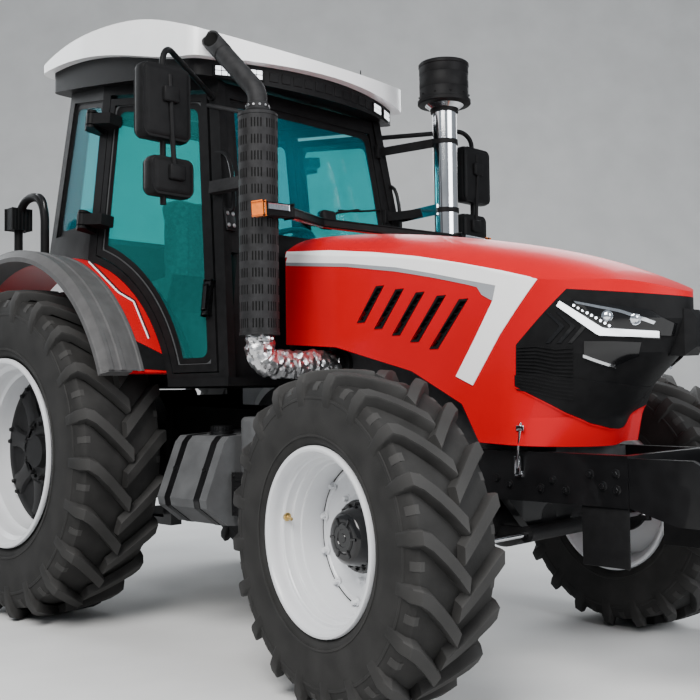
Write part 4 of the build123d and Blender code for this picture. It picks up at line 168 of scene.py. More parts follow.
def glass(name, colour, through_colour):
    # Tinted sheet glass: a part goes through as tinted light, the rest is a mirror-like coat.
    mat = shader(name, colour, 0.5, 0, 0, 0.08, 2.0, specular=0.35)
    tree = mat.node_tree
    surface = tree.nodes["Principled BSDF"]
    tree.links.remove(surface.inputs["Roughness"].links[0])
    surface.inputs["Roughness"].default_value = 0.015
    through = add_node(tree, "BsdfTransparent", Color=(*through_colour, 1))
    mix = add_node(tree, "MixShader", Fac=1 - GLASS_CLEAR)
    tree.links.new(through.outputs[0], mix.inputs[1])
    tree.links.new(surface.outputs[0], mix.inputs[2])
    tree.links.new(mix.outputs[0], tree.nodes["Material Output"].inputs["Surface"])
    return mat


def wear_and_highlight_edges(mat, pale, start, full):
    # Ridges and corners are painted paler: partly the colour of rubbed material, partly a painted highlight on the
    # edges.
    tree = mat.node_tree
    base = tree.nodes["Principled BSDF"].inputs["Base Color"]
    ridge = add_node(tree, "NewGeometry")
    band = add_node(tree, "MapRange", From_Min=start, From_Max=full)
    blend = add_node(tree, "Mix")
    blend.data_type = "RGBA"
    tree.links.new(ridge.outputs["Pointiness"], band.inputs["Value"])
    tree.links.new(band.outputs["Result"], blend.inputs[0])
    tree.links.new(base.links[0].from_socket, blend.inputs[6])
    blend.inputs[7].default_value = (*pale, 1)
    tree.links.new(blend.outputs[2], base)


M = {look: shader(look, *row[1:]) for look, row in LOOKS.items()}
M["glass_teal"] = glass("glass_teal", (0.02, 0.3, 0.3), (0.46, 0.93, 0.9))
M["glass_blue"] = glass("glass_blue", (0.02, 0.26, 0.34), (0.52, 0.93, 0.95))
# Lug edges of the tyres: rubbed wear mixed with a painted highlight.
wear_and_highlight_edges(M["rubber"], (0.042, 0.041, 0.04), 0.53, 0.62)
glow = M["lit"].node_tree.nodes["Principled BSDF"].inputs
glow["Emission Color"].default_value = (0.9, 0.95, 1, 1)
glow["Emission Strength"].default_value = 1.6
for look, names in NODE_LOOKS.items():
    for name in names.split():
        for hand in ("left", "right") if "*" in name else ("",):
            materials = nodes[name.replace("*", hand)].data.materials
            materials.clear()
            materials.append(M[look])

# The photo's camera: place, turn, and its focal length and middle in pixels
EYE = vec(3.904, -3.727, 1.187)
YAW, PITCH, ROLL = 0.777, 0.043, -0.013
LENS, FILM = 51.63, 36.0
FOCAL, MIDDLE = 1003.9, 350


def view_axes():
    ahead = vec(-math.sin(YAW) * math.cos(PITCH), math.cos(YAW) * math.cos(PITCH), math.sin(PITCH))
    side = ahead.cross(UP).normalized()
    head = side.cross(ahead)
    right = side * math.cos(ROLL) + head * math.sin(ROLL)
    return right, head * math.cos(ROLL) - side * math.sin(ROLL), ahead


VIEW_RIGHT, VIEW_UP, VIEW_AHEAD = view_axes()
TREES = {}


# Tools for pieces
def tree_of(node):
    if node not in TREES:
        mesh = nodes[node].data
        TREES[node] = BVHTree.FromPolygons([v.co for v in mesh.vertices], [p.vertices[:] for p in mesh.polygons])
    return TREES[node]


def cast(names, start, aim):
    # Nearest point and outward normal of the named CAD nodes along a ray.
    best = None
    for name in names:
        point, normal, _, far = tree_of(name).ray_cast(start, aim)
        if point is not None and (best is None or far < best[2]):
            best = (point, normal if normal.dot(aim) < 0 else -normal, far)
    return (best[0], best[1]) if best else None


def pixel_aim(px, py):
    return VIEW_AHEAD * FOCAL + VIEW_RIGHT * (px - MIDDLE) - VIEW_UP * (py - MIDDLE)


def at_pixel(names, px, py):
    return cast(names, EYE, pixel_aim(px, py).normalized())


def on_x(px, py, x):
    # Where the photo's ray meets a plane across the tractor.
    aim = pixel_aim(px, py)
    return EYE + aim * ((x - EYE.x) / aim.x)


def on_side(spot, side):
    # A spot found on the right, or its mirror image on the left.
    return spot if spot is None or side < 0 else (spot[0] * MIRROR, spot[1] * MIRROR)


def add_object(name, data):
    made = bpy.data.objects.new(name, data)
    bpy.context.collection.objects.link(made)
    return made


def mesh_from(name, bm):
    mesh = bpy.data.meshes.new(name)
    bm.to_mesh(mesh)
    bm.free()
    return mesh


def make_piece(name, bm, look, body="chassis", swap=(), sharp=35.0):
    bmesh.ops.recalc_face_normals(bm, faces=bm.faces[:])
    mesh = mesh_from(name, bm)
    mesh.shade_smooth()
    mesh.set_sharp_from_angle(angle=math.radians(sharp))
    mesh.materials.append(M[look])
    piece = add_object(name, mesh)
    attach(piece, body)
    if swap:
        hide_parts(*swap)


def resample(line, count):
    # Points at even steps along a line of points.
    line = [Vector(p) for p in line]
    lengths = [0.0]
    for a, b in zip(line, line[1:]):
        lengths.append(lengths[-1] + (b - a).length)
    points = []
    for i in range(count + 1):
        want = lengths[-1] * i / count
        k = max(j for j in range(len(line) - 1) if lengths[j] <= want + 1e-9)
        share = (want - lengths[k]) / max(lengths[k + 1] - lengths[k], 1e-9)
        points.append(line[k].lerp(line[k + 1], min(share, 1.0)))
    return points


def between(upper, lower, along, across):
    # Grid of points between two lines.
    top, low = resample(upper, along), resample(lower, along)
    return [[a.lerp(b, j / across) for a, b in zip(top, low)] for j in range(across + 1)]


def quads(bm, rows, close_row=False, close_col=False):
    verts = [[None if p is None else bm.verts.new(p) for p in row] for row in rows]
    tall, wide = len(verts), len(verts[0])
    for i in range(tall if close_col else tall - 1):
        near, far = verts[i], verts[(i + 1) % tall]
        for j in range(wide if close_row else wide - 1):
            after = (j + 1) % wide
            corners = (near[j], near[after], far[after], far[j])
            if None not in corners:
                bm.faces.new(corners)
    return verts


def drape(bm, spots, lift, sink=0.003):
    # A thin sheet laid on a surface, with a skirt down into it.
    grid = [[row[0], *row, row[-1]] for row in spots]
    grid = [grid[0], *grid, grid[-1]]
    low, last = len(grid) - 1, len(grid[0]) - 1
    quads(bm, [[
        None if s is None else s[0] + s[1] * (-sink if i in (0, low) or j in (0, last) else lift)
        for j, s in enumerate(row)
    ] for i, row in enumerate(grid)])


def lathe(bm, centre, axis, profile, steps, ring=False):
    # Turn a profile of (along, radius) about an axis.
    axis = axis.normalized()
    across = axis.cross(UP if abs(axis.z) < 0.9 else X).normalized()
    other = axis.cross(across)
    turns = [2 * math.pi * k / steps for k in range(steps)]
    quads(bm, [[
        centre + axis * along + (across * math.cos(turn) + other * math.sin(turn)) * max(radius, 1e-5) for turn in turns
    ] for along, radius in profile], close_row=True, close_col=ring)


def bolt(bm, spot, radius, height, washer=True):
    if washer:
        rim = [(-0.002, radius * 1.5), (0.0025, radius * 1.5), (0.0035, radius * 1.3), (0.0035, 0)]
        lathe(bm, *spot, rim, 14)
    lathe(bm, *spot, [(-0.001, radius), (height * 0.8, radius), (height, radius * 0.82), (height, 0)], 6)


def block(bm, centre, axes, size, bevel=0.0, segments=2):
    # A box with rounded edges along three given axes.
    made = bmesh.ops.create_cube(bm, size=1.0)["verts"]
    x, y, z = axes
    for v in made:
        v.co = centre + x * (v.co.x * size[0]) + y * (v.co.y * size[1]) + z * (v.co.z * size[2])
    if bevel:
        edges = list(dict.fromkeys(e for v in made for e in v.link_edges))
        bmesh.ops.bevel(bm, geom=edges, offset=bevel, segments=segments, affect="EDGES", profile=0.5)


def tube(bm, points, radius, sides=10):
    # A round bar along points, with closed ends.
    points = [Vector(p) for p in points]
    last = len(points) - 1
    aims = [(points[min(i + 1, last)] - points[max(i - 1, 0)]).normalized() for i in range(last + 1)]
    turns = [2 * math.pi * k / sides for k in range(sides)]
    across = aims[0].orthogonal().normalized()
    rows = []
    for point, aim in zip(points, aims):
        across = (across - aim * across.dot(aim)).normalized()
        other = aim.cross(across)
        rows.append([point + (across * math.cos(turn) + other * math.sin(turn)) * radius for turn in turns])
    shut = [[points[i] + (p - points[i]) * 0.01 for p in rows[i]] for i in (0, -1)]
    quads(bm, [shut[0], *rows, shut[1]], close_row=True)


def bend(points, count):
    # A smooth line through the corner points.
    line = [Vector(p) for p in points]
    for _ in range(count):
        rounded = [line[0]]
        for a, b in zip(line, line[1:]):
            rounded += [a.lerp(b, 0.25), a.lerp(b, 0.75)]
        line = rounded + [line[-1]]
    return line


# Wheels
FRONT_OUT = vec(0.16676875, 0.98599604, 0)
WHEELS = {}
for hand, side in HANDS:
    WHEELS["front", hand] = (vec(1.25, side * 0.74, 0.64) + FRONT_OUT * side * 0.24, FRONT_OUT * side)
    WHEELS["rear", hand] = (vec(-1.25, side * 0.94, 0.89), vec(0, side, 0))
# Radius, half width, rim radius, bead half width, lugs on a half, lug half width
TYRES = {"front": (0.64, 0.195, 0.355, 0.146, 20, 0.033), "rear": (0.89, 0.245, 0.51, 0.201, 22, 0.037)}
# Carcass profile: share of the half width, share of the way from the rim to the tread
CARCASS = milli(
    "880 15, 945 70, 962 115, 986 120, 990 145, 976 150, 986 240, 999 360, 1000 450, 996 540, 985 600, 996 612, "
    "991 640, 972 648, 952 720, 912 785, 860 825, 750 842, 500 850, 250 853, 0 855"
)
# Lug stations on the front tyre: foot across and drop, then crest across and drop
LUG = milli(
    "-14 44 -14 0, 40 44 40 0, 90 45 90 1, 140 48 146 4, 164 56 178 12, 184 80 195.5 46, 190 110 199.5 94, "
    "193 140 195.5 134"
)
# Pads between the lugs: across and drop
PAD = milli("150 46, 168 47, 183 66, 187 78")
SHOULDER = 0.166


def rolled(wheel, across, turn, radius):
    # A point of a wheel: along its axle, at an angle from its top towards the tractor's front, at a radius.
    centre, out = wheel
    ahead = UP.cross(out)
    if ahead.x < 0:
        ahead = -ahead
    return centre + out * across + (UP * math.cos(turn) + ahead * math.sin(turn)) * radius


def tyre_piece(end, hand):
    radius, half, rim_r, bead, count, wide = TYRES[end]
    wheel = WHEELS[end, hand]
    span = radius - rim_r
    # Growth against the front tyre, whose stations the tables give
    grow = half / 0.195
    deep = span / 0.285
    bm = bmesh.new()
    one = [(bead, rim_r - 0.0255), (bead + 0.004, rim_r - 0.004)] + [(a * half, rim_r + b * span) for a, b in CARCASS]
    lathe(bm, *wheel, one + [(-a, b) for a, b in reversed(one[:-1])], 132, ring=True)

    def lag(u):
        u = min(u, SHOULDER * grow)
        return 1.1 * u - (0.8 / grow) * u * u

    def ridge(face, stations):
        rows = []
        for at, edge in stations:
            row = [rolled(wheel, face * u * grow, at - w / radius, r) for u, w, r in edge]
            rows.append(row + [rolled(wheel, face * u * grow, at + w / radius, r) for u, w, r in reversed(edge)])
        verts = quads(bm, rows)
        bm.faces.new(verts[0])
        bm.faces.new(verts[-1])

    def lug_stations(turn):
        for k, (fu, fd, cu, cd) in enumerate(LUG):
            drop = deep if k > 3 else 1.0
            foot_r, crest_r = radius - fd * drop, radius - cd * drop
            fat = wide * (1.0 if k < 4 else 0.86 if k < 6 else 0.74)
            rise = crest_r - foot_r
            low = min(crest_r - 0.005, foot_r + rise * 0.82) if k < 4 else foot_r + rise * 0.8
            at = turn + (middle - lag(max(cu * grow, -0.014))) / radius
            yield at, ((fu, fat + 0.008, foot_r), (fu + (cu - fu) * 0.82, fat, low), (cu, fat - 0.006, crest_r))

    middle = lag((half - 0.027 - 0.014) / 2)
    for face in (1, -1):
        for i in range(count):
            turn = 2 * math.pi * (i + (0 if face > 0 else 0.5)) / count
            ridge(face, lug_stations(turn))
            # Raised pad on the shoulder between two lugs
            at = turn + (middle - lag(SHOULDER * grow)) / radius + math.pi / count
            ridge(face, [
                (at, ((u - 0.004, 0.022, radius - (r + 0.012) * deep), (u, 0.017, radius - r * deep))) for u, r in PAD])
    make_piece(f"{end}_tyre_tread_{hand}", bm, "rubber", f"{end}_wheel_{hand}", [f"{end}_tyre_{hand}"], 28)


FRONT_RIM = milli(
    "178 355, 185 351, 187 343, 184 334, 174 327, 150 324.5, 134 323.5, 128 321, 126 310, 122 307, 98 305.5, "
    "92 303, 90 295.5, 86 293, 60 292, 55 290, 53 285, 48 283, -40 281.5, -46 280.5, -47 276, -44.5 272, "
    "-44.5 262, -50 258, -50 165, -46 160, -46 121, -66 121, -66 282, -150 305, -184 334, -187 343, -185 351, "
    "-178 355, -169 355, -169 328.5, -140 328.5, -100 318, -30 305, 30 305, 90 312, 135 328.5, 169 328.5, 169 355"
)
REAR_RIM = milli(
    "233 510, 240 506, 242 497, 239 487, 228 480, 195 476, 176 473, 166 462, 156 452, 120 448, 85 446, 75 440, "
    "68 431, 30 428, -22 427, -28 424, -30 415, -30 172, -46 172, -46 428, -180 452, -239 487, -242 497, "
    "-240 506, -233 510, -224 510, -224 483.5, -150 483.5, -120 455, 120 455, 150 483.5, 224 483.5, 224 510"
)
REAR_DISC = milli("-31 416, -20 414, -16 406, -16 372, -22 360, -27 352, -27 200, -16 190, 4 186, 4 165")
VALVE = milli("-4 17, 4 17, 6 14, 6 9, 10 9, 12 7, 34 7, 36 5, 36 0")
# Ribs on the wheel centres: share of the width, rise
COVER_RIB = milli("-7 -6, -4 3, 4 3, 7 -6")
DISC_RIB = ((-1.25, -0.02), (-1, 0), (-0.6, 0.004), (0.6, 0.004), (1, 0), (1.25, -0.02))


def bolt_circle(bm, wheel, count, first, across, reach, radius, height, washer=True):
    for i in range(count):
        spot = rolled(wheel, across, 2 * math.pi / count * i + first, reach)
        bolt(bm, (spot, wheel[1]), radius, height, washer)


def rib(bm, wheel, turn, stations, section):
    # Stations are radius, width and height of a rib that runs outwards.
    quads(bm, [[rolled(wheel, high + h, turn + s * wide / r, r) for s, h in section] for r, wide, high in stations])


def front_wheel_dress(hand):
    # Front rim with its stepped barrel, bolts, hub cover and valve.
    wheel = centre, out = WHEELS["front", hand]
    body = f"front_wheel_{hand}"
    bm = bmesh.new()
    lathe(bm, centre, out, FRONT_RIM, 96, ring=True)
    bolt_circle(bm, wheel, 12, 0.2, -0.0445, 0.264, 0.012, 0.02)
    bolt_circle(bm, wheel, 8, 0.1, -0.05, 0.172, 0.012, 0.022)
    make_piece(f"front_rim_barrel_{hand}", bm, "white_paint", body, [f"front_rim_{hand}"], 30)
    # Dark ring in the gap between barrel and disc: painted shade.
    bm = bmesh.new()
    lathe(bm, centre, out, milli("-47.5 281.2, -45.5 279.5, -45.5 273.5, -47.5 271.5"), 96)
    make_piece(f"front_rim_gap_{hand}", bm, "opening_shade", body)
    hub = [v.co - centre for v in nodes[f"front_hub_{hand}"].data.vertices]
    cap = max(v.dot(out) for v in hub) + 0.004
    collar = max(v.dot(out) for v in hub if (v - out * v.dot(out)).length > 0.11) + 0.006
    face = [(-0.047, 0.14)]
    face += [(collar + a, r) for a, r in milli("-14 140, -12 136, -2 135, 0 131, 0 117, 10 112")]
    face += [(cap + a, r) for a, r in milli("-16 100, -8 92, -4 80, -5 58, 0 52, 0 34, -3 32, -3 18, 0 16, 0 0")]
    bm = bmesh.new()
    lathe(bm, centre, out, face, 72)
    bolt_circle(bm, wheel, 18, 0, collar, 0.124, 0.0065, 0.009, washer=False)
    for i in range(6):
        stations = ((0.05, 1, cap - 0.001), (0.066, 1, cap - 0.002), (0.082, 1, cap - 0.002))
        rib(bm, wheel, math.pi / 3 * i + 0.5, stations, COVER_RIB)
    make_piece(f"front_hub_cover_{hand}", bm, "black_gloss", body)
    bm = bmesh.new()
    stem = rolled(wheel, 0.112, -1.38, 0.306)
    lathe(bm, stem, (centre - stem) - out * (centre - stem).dot(out), VALVE, 18)
    make_piece(f"front_valve_{hand}", bm, "brass", body)


def rear_wheel_dress(hand):
    # Rear rim with its cast centre.
    wheel = centre, out = WHEELS["rear", hand]
    body = f"rear_wheel_{hand}"
    bm = bmesh.new()
    lathe(bm, centre, out, REAR_RIM, 120, ring=True)
    make_piece(f"rear_rim_barrel_{hand}", bm, "white_paint", body, [f"rear_rim_{hand}"], 30)
    bm = bmesh.new()
    lathe(bm, centre, out, REAR_DISC, 96)
    for i in range(8):
        turn = math.pi / 4 * i + 0.2
        stations = ((0.18, 0.05, 0.006), (0.24, 0.04, 0.0), (0.31, 0.042, -0.006), (0.37, 0.062, -0.012))
        rib(bm, wheel, turn, stations, DISC_RIB)
        for s in (-0.055, 0.055):
            bolt(bm, (rolled(wheel, -0.016, turn + s / 0.37 * 0.6, 0.388), out), 0.013, 0.018)
    bolt_circle(bm, wheel, 10, 0, 0.003, 0.15, 0.014, 0.024)
    make_piece(f"rear_wheel_centre_{hand}", bm, "black_cast", body)


for hand, _ in HANDS:
    tyre_piece("front", hand)
    tyre_piece("rear", hand)
    front_wheel_dress(hand)
    rear_wheel_dress(hand)


# Hood and nose
# Lines on the hood's side as (x, z)
STRIPE_TOP = milli("201 1892, 479 1871, 786 1827, 1050 1780, 1292 1726, 1494 1676, 1665 1628")
STRIPE_LOW = milli("180 1842, 616 1794, 928 1745, 1131 1700, 1314 1655, 1472 1618, 1600 1585")
GREY_LOW = milli("178 1826, 616 1778, 928 1726, 1131 1682, 1314 1637, 1466 1594")
ARM_LEFT = milli("1472 1618, 1455 1556, 1360 1405, 1258 1252")
ARM_RIGHT = milli("1665 1628, 1600 1552, 1487 1416, 1346 1213")
NOTCH_TOP, NOTCH_LOW = ((1.36, 1.64), (1.472, 1.617)), ((1.4, 1.585), (1.455, 1.556))
# Upper and lower ends of five louvres, from the first to the last
LOUVRE_ENDS = (((0.829, 1.667), (1.305, 1.572)), ((0.706, 1.515), (1.138, 1.377)))
LOUVRES = [[[a + (b - a) * i / 4 for a, b in zip(*ends)] for ends in LOUVRE_ENDS] for i in range(5)]
SKIN = ["hood", "nose_panel"]


def side_sheet(bm, upper, lower, along, across, side, lift):
    # A sheet on the hood's side between two lines.
    drape(bm, [
        [cast(SKIN, vec(p.x, side * 1.5, p.y), vec(0, -side, 0)) for p in row]
        for row in between(upper, lower, along, across)
    ], lift)


def louvre_line(top, low, wide, over, y):
    return [vec(x, y, z) for x, z in (
        (top[0] - wide, top[1] + over), (top[0] + wide, top[1] + over),
        (low[0] + wide, low[1] - over), (low[0] - wide, low[1] - over))]


def hood_sides(hand, side):
    bm = bmesh.new()
    side_sheet(bm, STRIPE_TOP, STRIPE_LOW, 90, 16, side, 0.0034)
    side_sheet(bm, ARM_LEFT, ARM_RIGHT, 40, 14, side, 0.0046)
    make_piece(f"hood_stripe_{hand}", bm, "stripe", "hood")
    bm = bmesh.new()
    side_sheet(bm, STRIPE_LOW[:6], GREY_LOW, 80, 3, side, 0.0022)
    side_sheet(bm, NOTCH_TOP, NOTCH_LOW, 12, 6, side, 0.0026)
    make_piece(f"hood_stripe_shade_{hand}", bm, "stripe_grey", "hood")
    frames, mesh = bmesh.new(), bmesh.new()
    face = side * 0.4
    for top, low in LOUVRES:
        quads(frames, [louvre_line(top, low, wide, over, face + side * out) for wide, over, out in (
            (0.024, 0.004, 0), (0.024, 0.004, 0.003), (0.015, -0.006, 0.004), (0.015, -0.006, -0.016))], close_row=True)
        for k in range(1, 7):
            spot = vec(top[0], 0, top[1]).lerp(vec(low[0], 0, low[1]), k / 7)
            block(frames, spot + vec(0, side * 0.39, 0), AXES, (0.031, 0.01, 0.006), 0.001, 1)
        # Near-black plate filling each louvre opening: painted shade.
        for line in quads(mesh, [louvre_line(top, low, 0.017, 0, side * y) for y in (0.384, 0.38)], close_row=True):
            mesh.faces.new(line)
    make_piece(f"louvre_frames_{hand}", frames, "black_plastic", "hood")
    make_piece(f"louvre_mesh_{hand}", mesh, "opening_shade", "hood")


def pixel_sheet(bm, names, upper, lower, along, across, side, lift):
    # A sheet laid under two of the photo's lines, or its mirror image.
    drape(bm, [
        [on_side(at_pixel(names, p.x, p.y), side) for p in row] for row in between(upper, lower, along, across)
    ], lift)


def nose_patch(name, look, lift, *sheets):
    for hand, side in HANDS:
        bm = bmesh.new()
        for sheet in sheets:
            pixel_sheet(bm, ("nose_panel", "headlamps", "hood"), *sheet, side, lift)
        make_piece(f"{name}_{hand}", bm, look, "hood")


def lamp_dots(name, look, dots, radius, depth):
    profile = [(-0.004, radius), (depth, radius), (depth + 0.002, radius * 0.9), (depth * 0.5, radius * 0.78),
               (depth * 0.9, radius * 0.5), (depth * 1.1, radius * 0.25), (depth * 1.15, 0)]
    for hand, side in HANDS:
        bm = bmesh.new()
        for px, py in dots:
            spot = on_side(at_pixel(("headlamps", "nose_panel", "hood"), px, py), side)
            if spot:
                lathe(bm, *spot, profile, 20)
        make_piece(f"{name}_{hand}", bm, look, "hood")


def grille_line(i, drop, end_drop):
    return [(517, 347 + drop + 3.2 * i), (536, 345.6 + drop + 3.6 * i), (555, 348.5 + drop + 3.7 * i),
            (573, 347 + end_drop + 4.0 * i)]


both(hood_sides)
nose_patch("lamp_housing", "black_gloss", 0.002,
           ([(556, 300), (600, 305), (662, 322)], [(558, 308), (598, 336), (660, 339)], 24, 6))
nose_patch("lamp_brow", "reflector", 0.006,
           ([(574, 301), (620, 309.5), (655, 321)], [(576, 303.5), (620, 312.5), (653, 324)], 24, 2))
nose_patch("lamp_bar", "lit", 0.01,
           ([(560, 301), (603, 328), (658, 331)], [(557, 306), (598, 335), (658, 337)], 30, 2))
lamp_dots("lamp_projectors", "reflector", [(607, 316), (635, 319)], 0.022, 0.008)
lamp_dots("lamp_leds", "lit", [(574 + 4.4 * i, 305.5 + 2.5 * i) for i in range(9)], 0.005, 0.008)
nose_patch("lower_lamp", "black_gloss", 0.004,
           ([(584, 341), (612, 341), (641, 342)], [(584, 355), (614, 366), (638, 356)], 16, 5))
nose_patch("lower_lamp_trim", "chrome", 0.007,
           ([(583, 354), (600, 360), (616, 365)], [(583, 357), (600, 363), (616, 368)], 14, 1))
nose_patch("nose_chevrons", "black_gloss", 0.004, *[
    ([(545 + d, 312), (560 + d, 326), (546 + d, 343)], [(549 + d, 312), (565 + d, 326), (550 + d, 343)], 16, 1)
    for d in (0, 11, 22)])
nose_patch("nose_grille", "black_plastic", 0.005, *[
    (grille_line(i, 0, 0), grille_line(i, 1.3, 1.4), 22, 1) for i in range(14)])


def nose_apron():
    # Black lower part of the nose, down to the red lip, with the lip's bright edge under it.
    heart, steps = 1.48, 40
    lip = []
    for px, py in ((515, 386), (540, 399), (565, 412), (590, 423), (610, 428), (628, 430), (645, 425)):
        spot = at_pixel(SKIN, px, py)
        if spot:
            lip.append((math.atan2(-spot[0].y, spot[0].x - heart), spot[0].z))
    lip.sort()
    first, last = lip[0], lip[-1]

    def lip_z(turn):
        if turn <= first[0]:
            return first[1]
        for (a, za), (b, zb) in zip(lip, lip[1:]):
            if a <= turn <= b:
                return za + (zb - za) * (turn - a) / max(b - a, 1e-6)
        return last[1]

    def band(name, look, rises, lift):
        grid = []
        for rise in rises:
            row = []
            for k in range(-steps, steps + 1):
                turn = last[0] * k / steps
                out = spoke(-turn)
                row.append(cast(SKIN, vec(heart, 0, lip_z(abs(turn)) + rise(k)) + out * 1.5, -out))
            grid.append(row)
        bm = bmesh.new()
        drape(bm, grid, lift)
        make_piece(name, bm, look, "hood")

    band("nose_apron", "black_plastic", [
        lambda k, j=j: 0.17 * j / 14 * (1 - 0.75 * (abs(k) / steps) ** 3) for j in range(15)], 0.003)
    band("nose_lip_bead", "red_paint", [lambda k: -0.002, lambda k: -0.008], 0.004)


nose_apron()


# Exhaust and intake
def outlet_tip():
    # Slanted mouth of the outlet: the pipe cut at a slant, a sleeve round its end and its bore, coloured near-black as
    # painted shade.
    end = vec(0.02, -0.75, 2.95)
    along = vec(-0.338, -0.035, 0.35).normalized()
    mouth = vec(0.357, -0.899, 0.254)
    mouth = (mouth - along * mouth.dot(along)).normalized()
    across = along.cross(mouth)
    middle, slant = -0.035, 2.05

    def ring(radius, back=0.0, reach=None):
        row = []
        for k in range(48):
            turn = 2 * math.pi * k / 48
            at = middle - slant * radius * math.sin(turn) - back if reach is None else reach
            row.append(end + along * at + (across * math.cos(turn) + mouth * math.sin(turn)) * radius)
        return row

    bm = bmesh.new()
    quads(bm, [ring(0.0482, reach=-0.165), ring(0.0482, 0.004), ring(0.0468), ring(0.0418), ring(0.0404, 0.004),
               ring(0.0396, reach=-0.15)], close_row=True, close_col=True)
    make_piece("outlet_sleeve", bm, "heat_black")
    bm = bmesh.new()
    quads(bm, [ring(0.0394, 0.006), ring(0.0394, reach=-0.15), ring(0.02, reach=-0.153), ring(1e-5, reach=-0.153)],
          close_row=True)
    make_piece("outlet_bore", bm, "opening_shade")
    bm = bmesh.new()
    bm.from_mesh(nodes["exhaust_stack"].data)
    face = (along + mouth * slant).normalized()
    bmesh.ops.bisect_plane(bm, geom=bm.verts[:] + bm.edges[:] + bm.faces[:], plane_no=face, clear_outer=True,
                           plane_co=end + along * middle - face * 0.004)
    make_piece("exhaust_pipe", bm, "heat_black", "chassis", ["exhaust_stack"])


def studs(bm, foot, count, reach, z, radius, height):
    for k in range(count):
        out = spoke(2 * math.pi / count * k)
        bolt(bm, (foot + out * reach + UP * z, out), radius, height, washer=False)


PRECLEANER = milli(
    "2770 68.2, 2772 79, 2806 81, 2812 105, 2816 146, 2821 151, 2838 151, 2843 140.5, 2900 140.5, 2902 139.2, "
    "2906 140.5, 2980 140.5, 2982 139.2, 2986 140.5, 3028 140.5, 3032 144, 3046 144, 3052 139, 3056 106, "
    "3073 20, 3073.5 0"
)
SHIELD_R = 0.092


def exhaust_dress():
    foot = vec(0.358, -0.715, 0)
    # Dark patches where the shield's slots are: painted shade of the openings.
    bm = bmesh.new()
    for row in range(13):
        z = 1.512 + 0.0768 * row
        for group in range(8):
            for k in range(4):
                turn = math.pi / 4 * group + (k - 1.5) * 0.0145 / SHIELD_R
                outs = [spoke(turn + s / SHIELD_R) for s in (-0.0032, 0.0032)]
                drape(bm, [
                    [(foot + out * SHIELD_R + UP * (z + h), out) for out in outs] for h in (0.021, -0.021)
                ], 0.0007, 0.002)
    make_piece("shield_slots", bm, "opening_shade")
    bm = bmesh.new()
    for z in (1.459, 2.477):
        lathe(bm, foot, UP, [(z, 0.0915), (z, 0.0945), (z + 0.013, 0.0945), (z + 0.015, 0.0915)], 64)
    lathe(bm, foot, UP, milli("2500 46.5, 2502 60, 2510 62, 2514 54, 2540 54, 2545 46.5"), 40)
    block(bm, foot + vec(-0.02, 0.055, 2.525), AXES, (0.05, 0.03, 0.026), 0.004)
    tube(bm, [foot + vec(0, 0.05, 2.525), foot + vec(-0.2, 0.1, 2.56), vec(-0.14, -0.62, 2.66)], 0.011)
    make_piece("shield_bands", bm, "heat_black")
    bm = bmesh.new()
    studs(bm, foot, 12, 0.054, 2.527, 0.006, 0.004)
    make_piece("clamp_studs", bm, "steel")
    # Crumpled wrap round the elbow
    bm = bmesh.new()
    elbow = [(0.358, -0.715, 1.462), (0.358, -0.715, 1.33), (0.385, -0.53, 1.325), (0.414, -0.3, 1.33)]
    tube(bm, resample(bend(elbow, 3), 70), 0.066, 40)
    bm.normal_update()
    for v in bm.verts:
        lump = noise.noise(v.co * 34) * 0.012 + noise.noise(v.co * 80) * 0.006
        v.co += v.normal * (lump if v.normal.length > 0.5 else 0)
    make_piece("elbow_wrap", bm, "foil", sharp=24)
    outlet_tip()
    # Pre-cleaner drum, bands and stays of the intake
    foot = vec(0.338, 0.69, 0)
    bm = bmesh.new()
    lathe(bm, foot, UP, PRECLEANER, 96)
    studs(bm, foot, 10, 0.1405, 2.866, 0.006, 0.005)
    for z in (2.6, 2.21):
        lathe(bm, foot, UP, [(z - 0.014, 0.0682), (z - 0.013, 0.074), (z + 0.013, 0.074), (z + 0.014, 0.0682)], 48)
        spot = cast(["cab_frame"], vec(0.3, 0.6, z), vec(-1, -0.06, 0))
        start = foot + vec(-0.05, -0.05, z)
        if spot:
            aim = spot[0] - start
            run = aim.normalized()
            axes = (run, UP.cross(run), UP)
            block(bm, start + aim * 0.5, axes, (aim.length + 0.02, 0.008, 0.045), 0.002)
            block(bm, spot[0], axes, (0.016, 0.07, 0.07), 0.003)
    make_piece("precleaner", bm, "black_plastic")


def mirror_dress(hand, side):
    bm, faces = bmesh.new(), bmesh.new()
    for y, z, wide, tall in ((1.13, 2.495, 0.25, 0.33), (1.1, 2.165, 0.22, 0.17)):
        middle = vec(0.19, side * y, z)
        block(bm, middle, AXES, (0.092, wide + 0.01, tall + 0.01), 0.034, 5)
        block(bm, middle + vec(0.05, side * -0.01, tall * 0.1), AXES, (0.034, 0.082, 0.072), 0.01, 3)
        block(faces, middle + vec(-0.0465, 0, 0), AXES, (0.006, wide - 0.05, tall - 0.05), 0.0025, 2)
    stay = ((0.232, 1.12, 2.62), (0.24, 1.12, 2.5), (0.236, 1.11, 2.34), (0.236, 1.1, 2.19))
    tube(bm, [(x, side * y, z) for x, y, z in stay], 0.012)
    make_piece(f"mirror_shells_{hand}", bm, "black_plastic")
    make_piece(f"mirror_glass_{hand}", faces, "mirror_face")


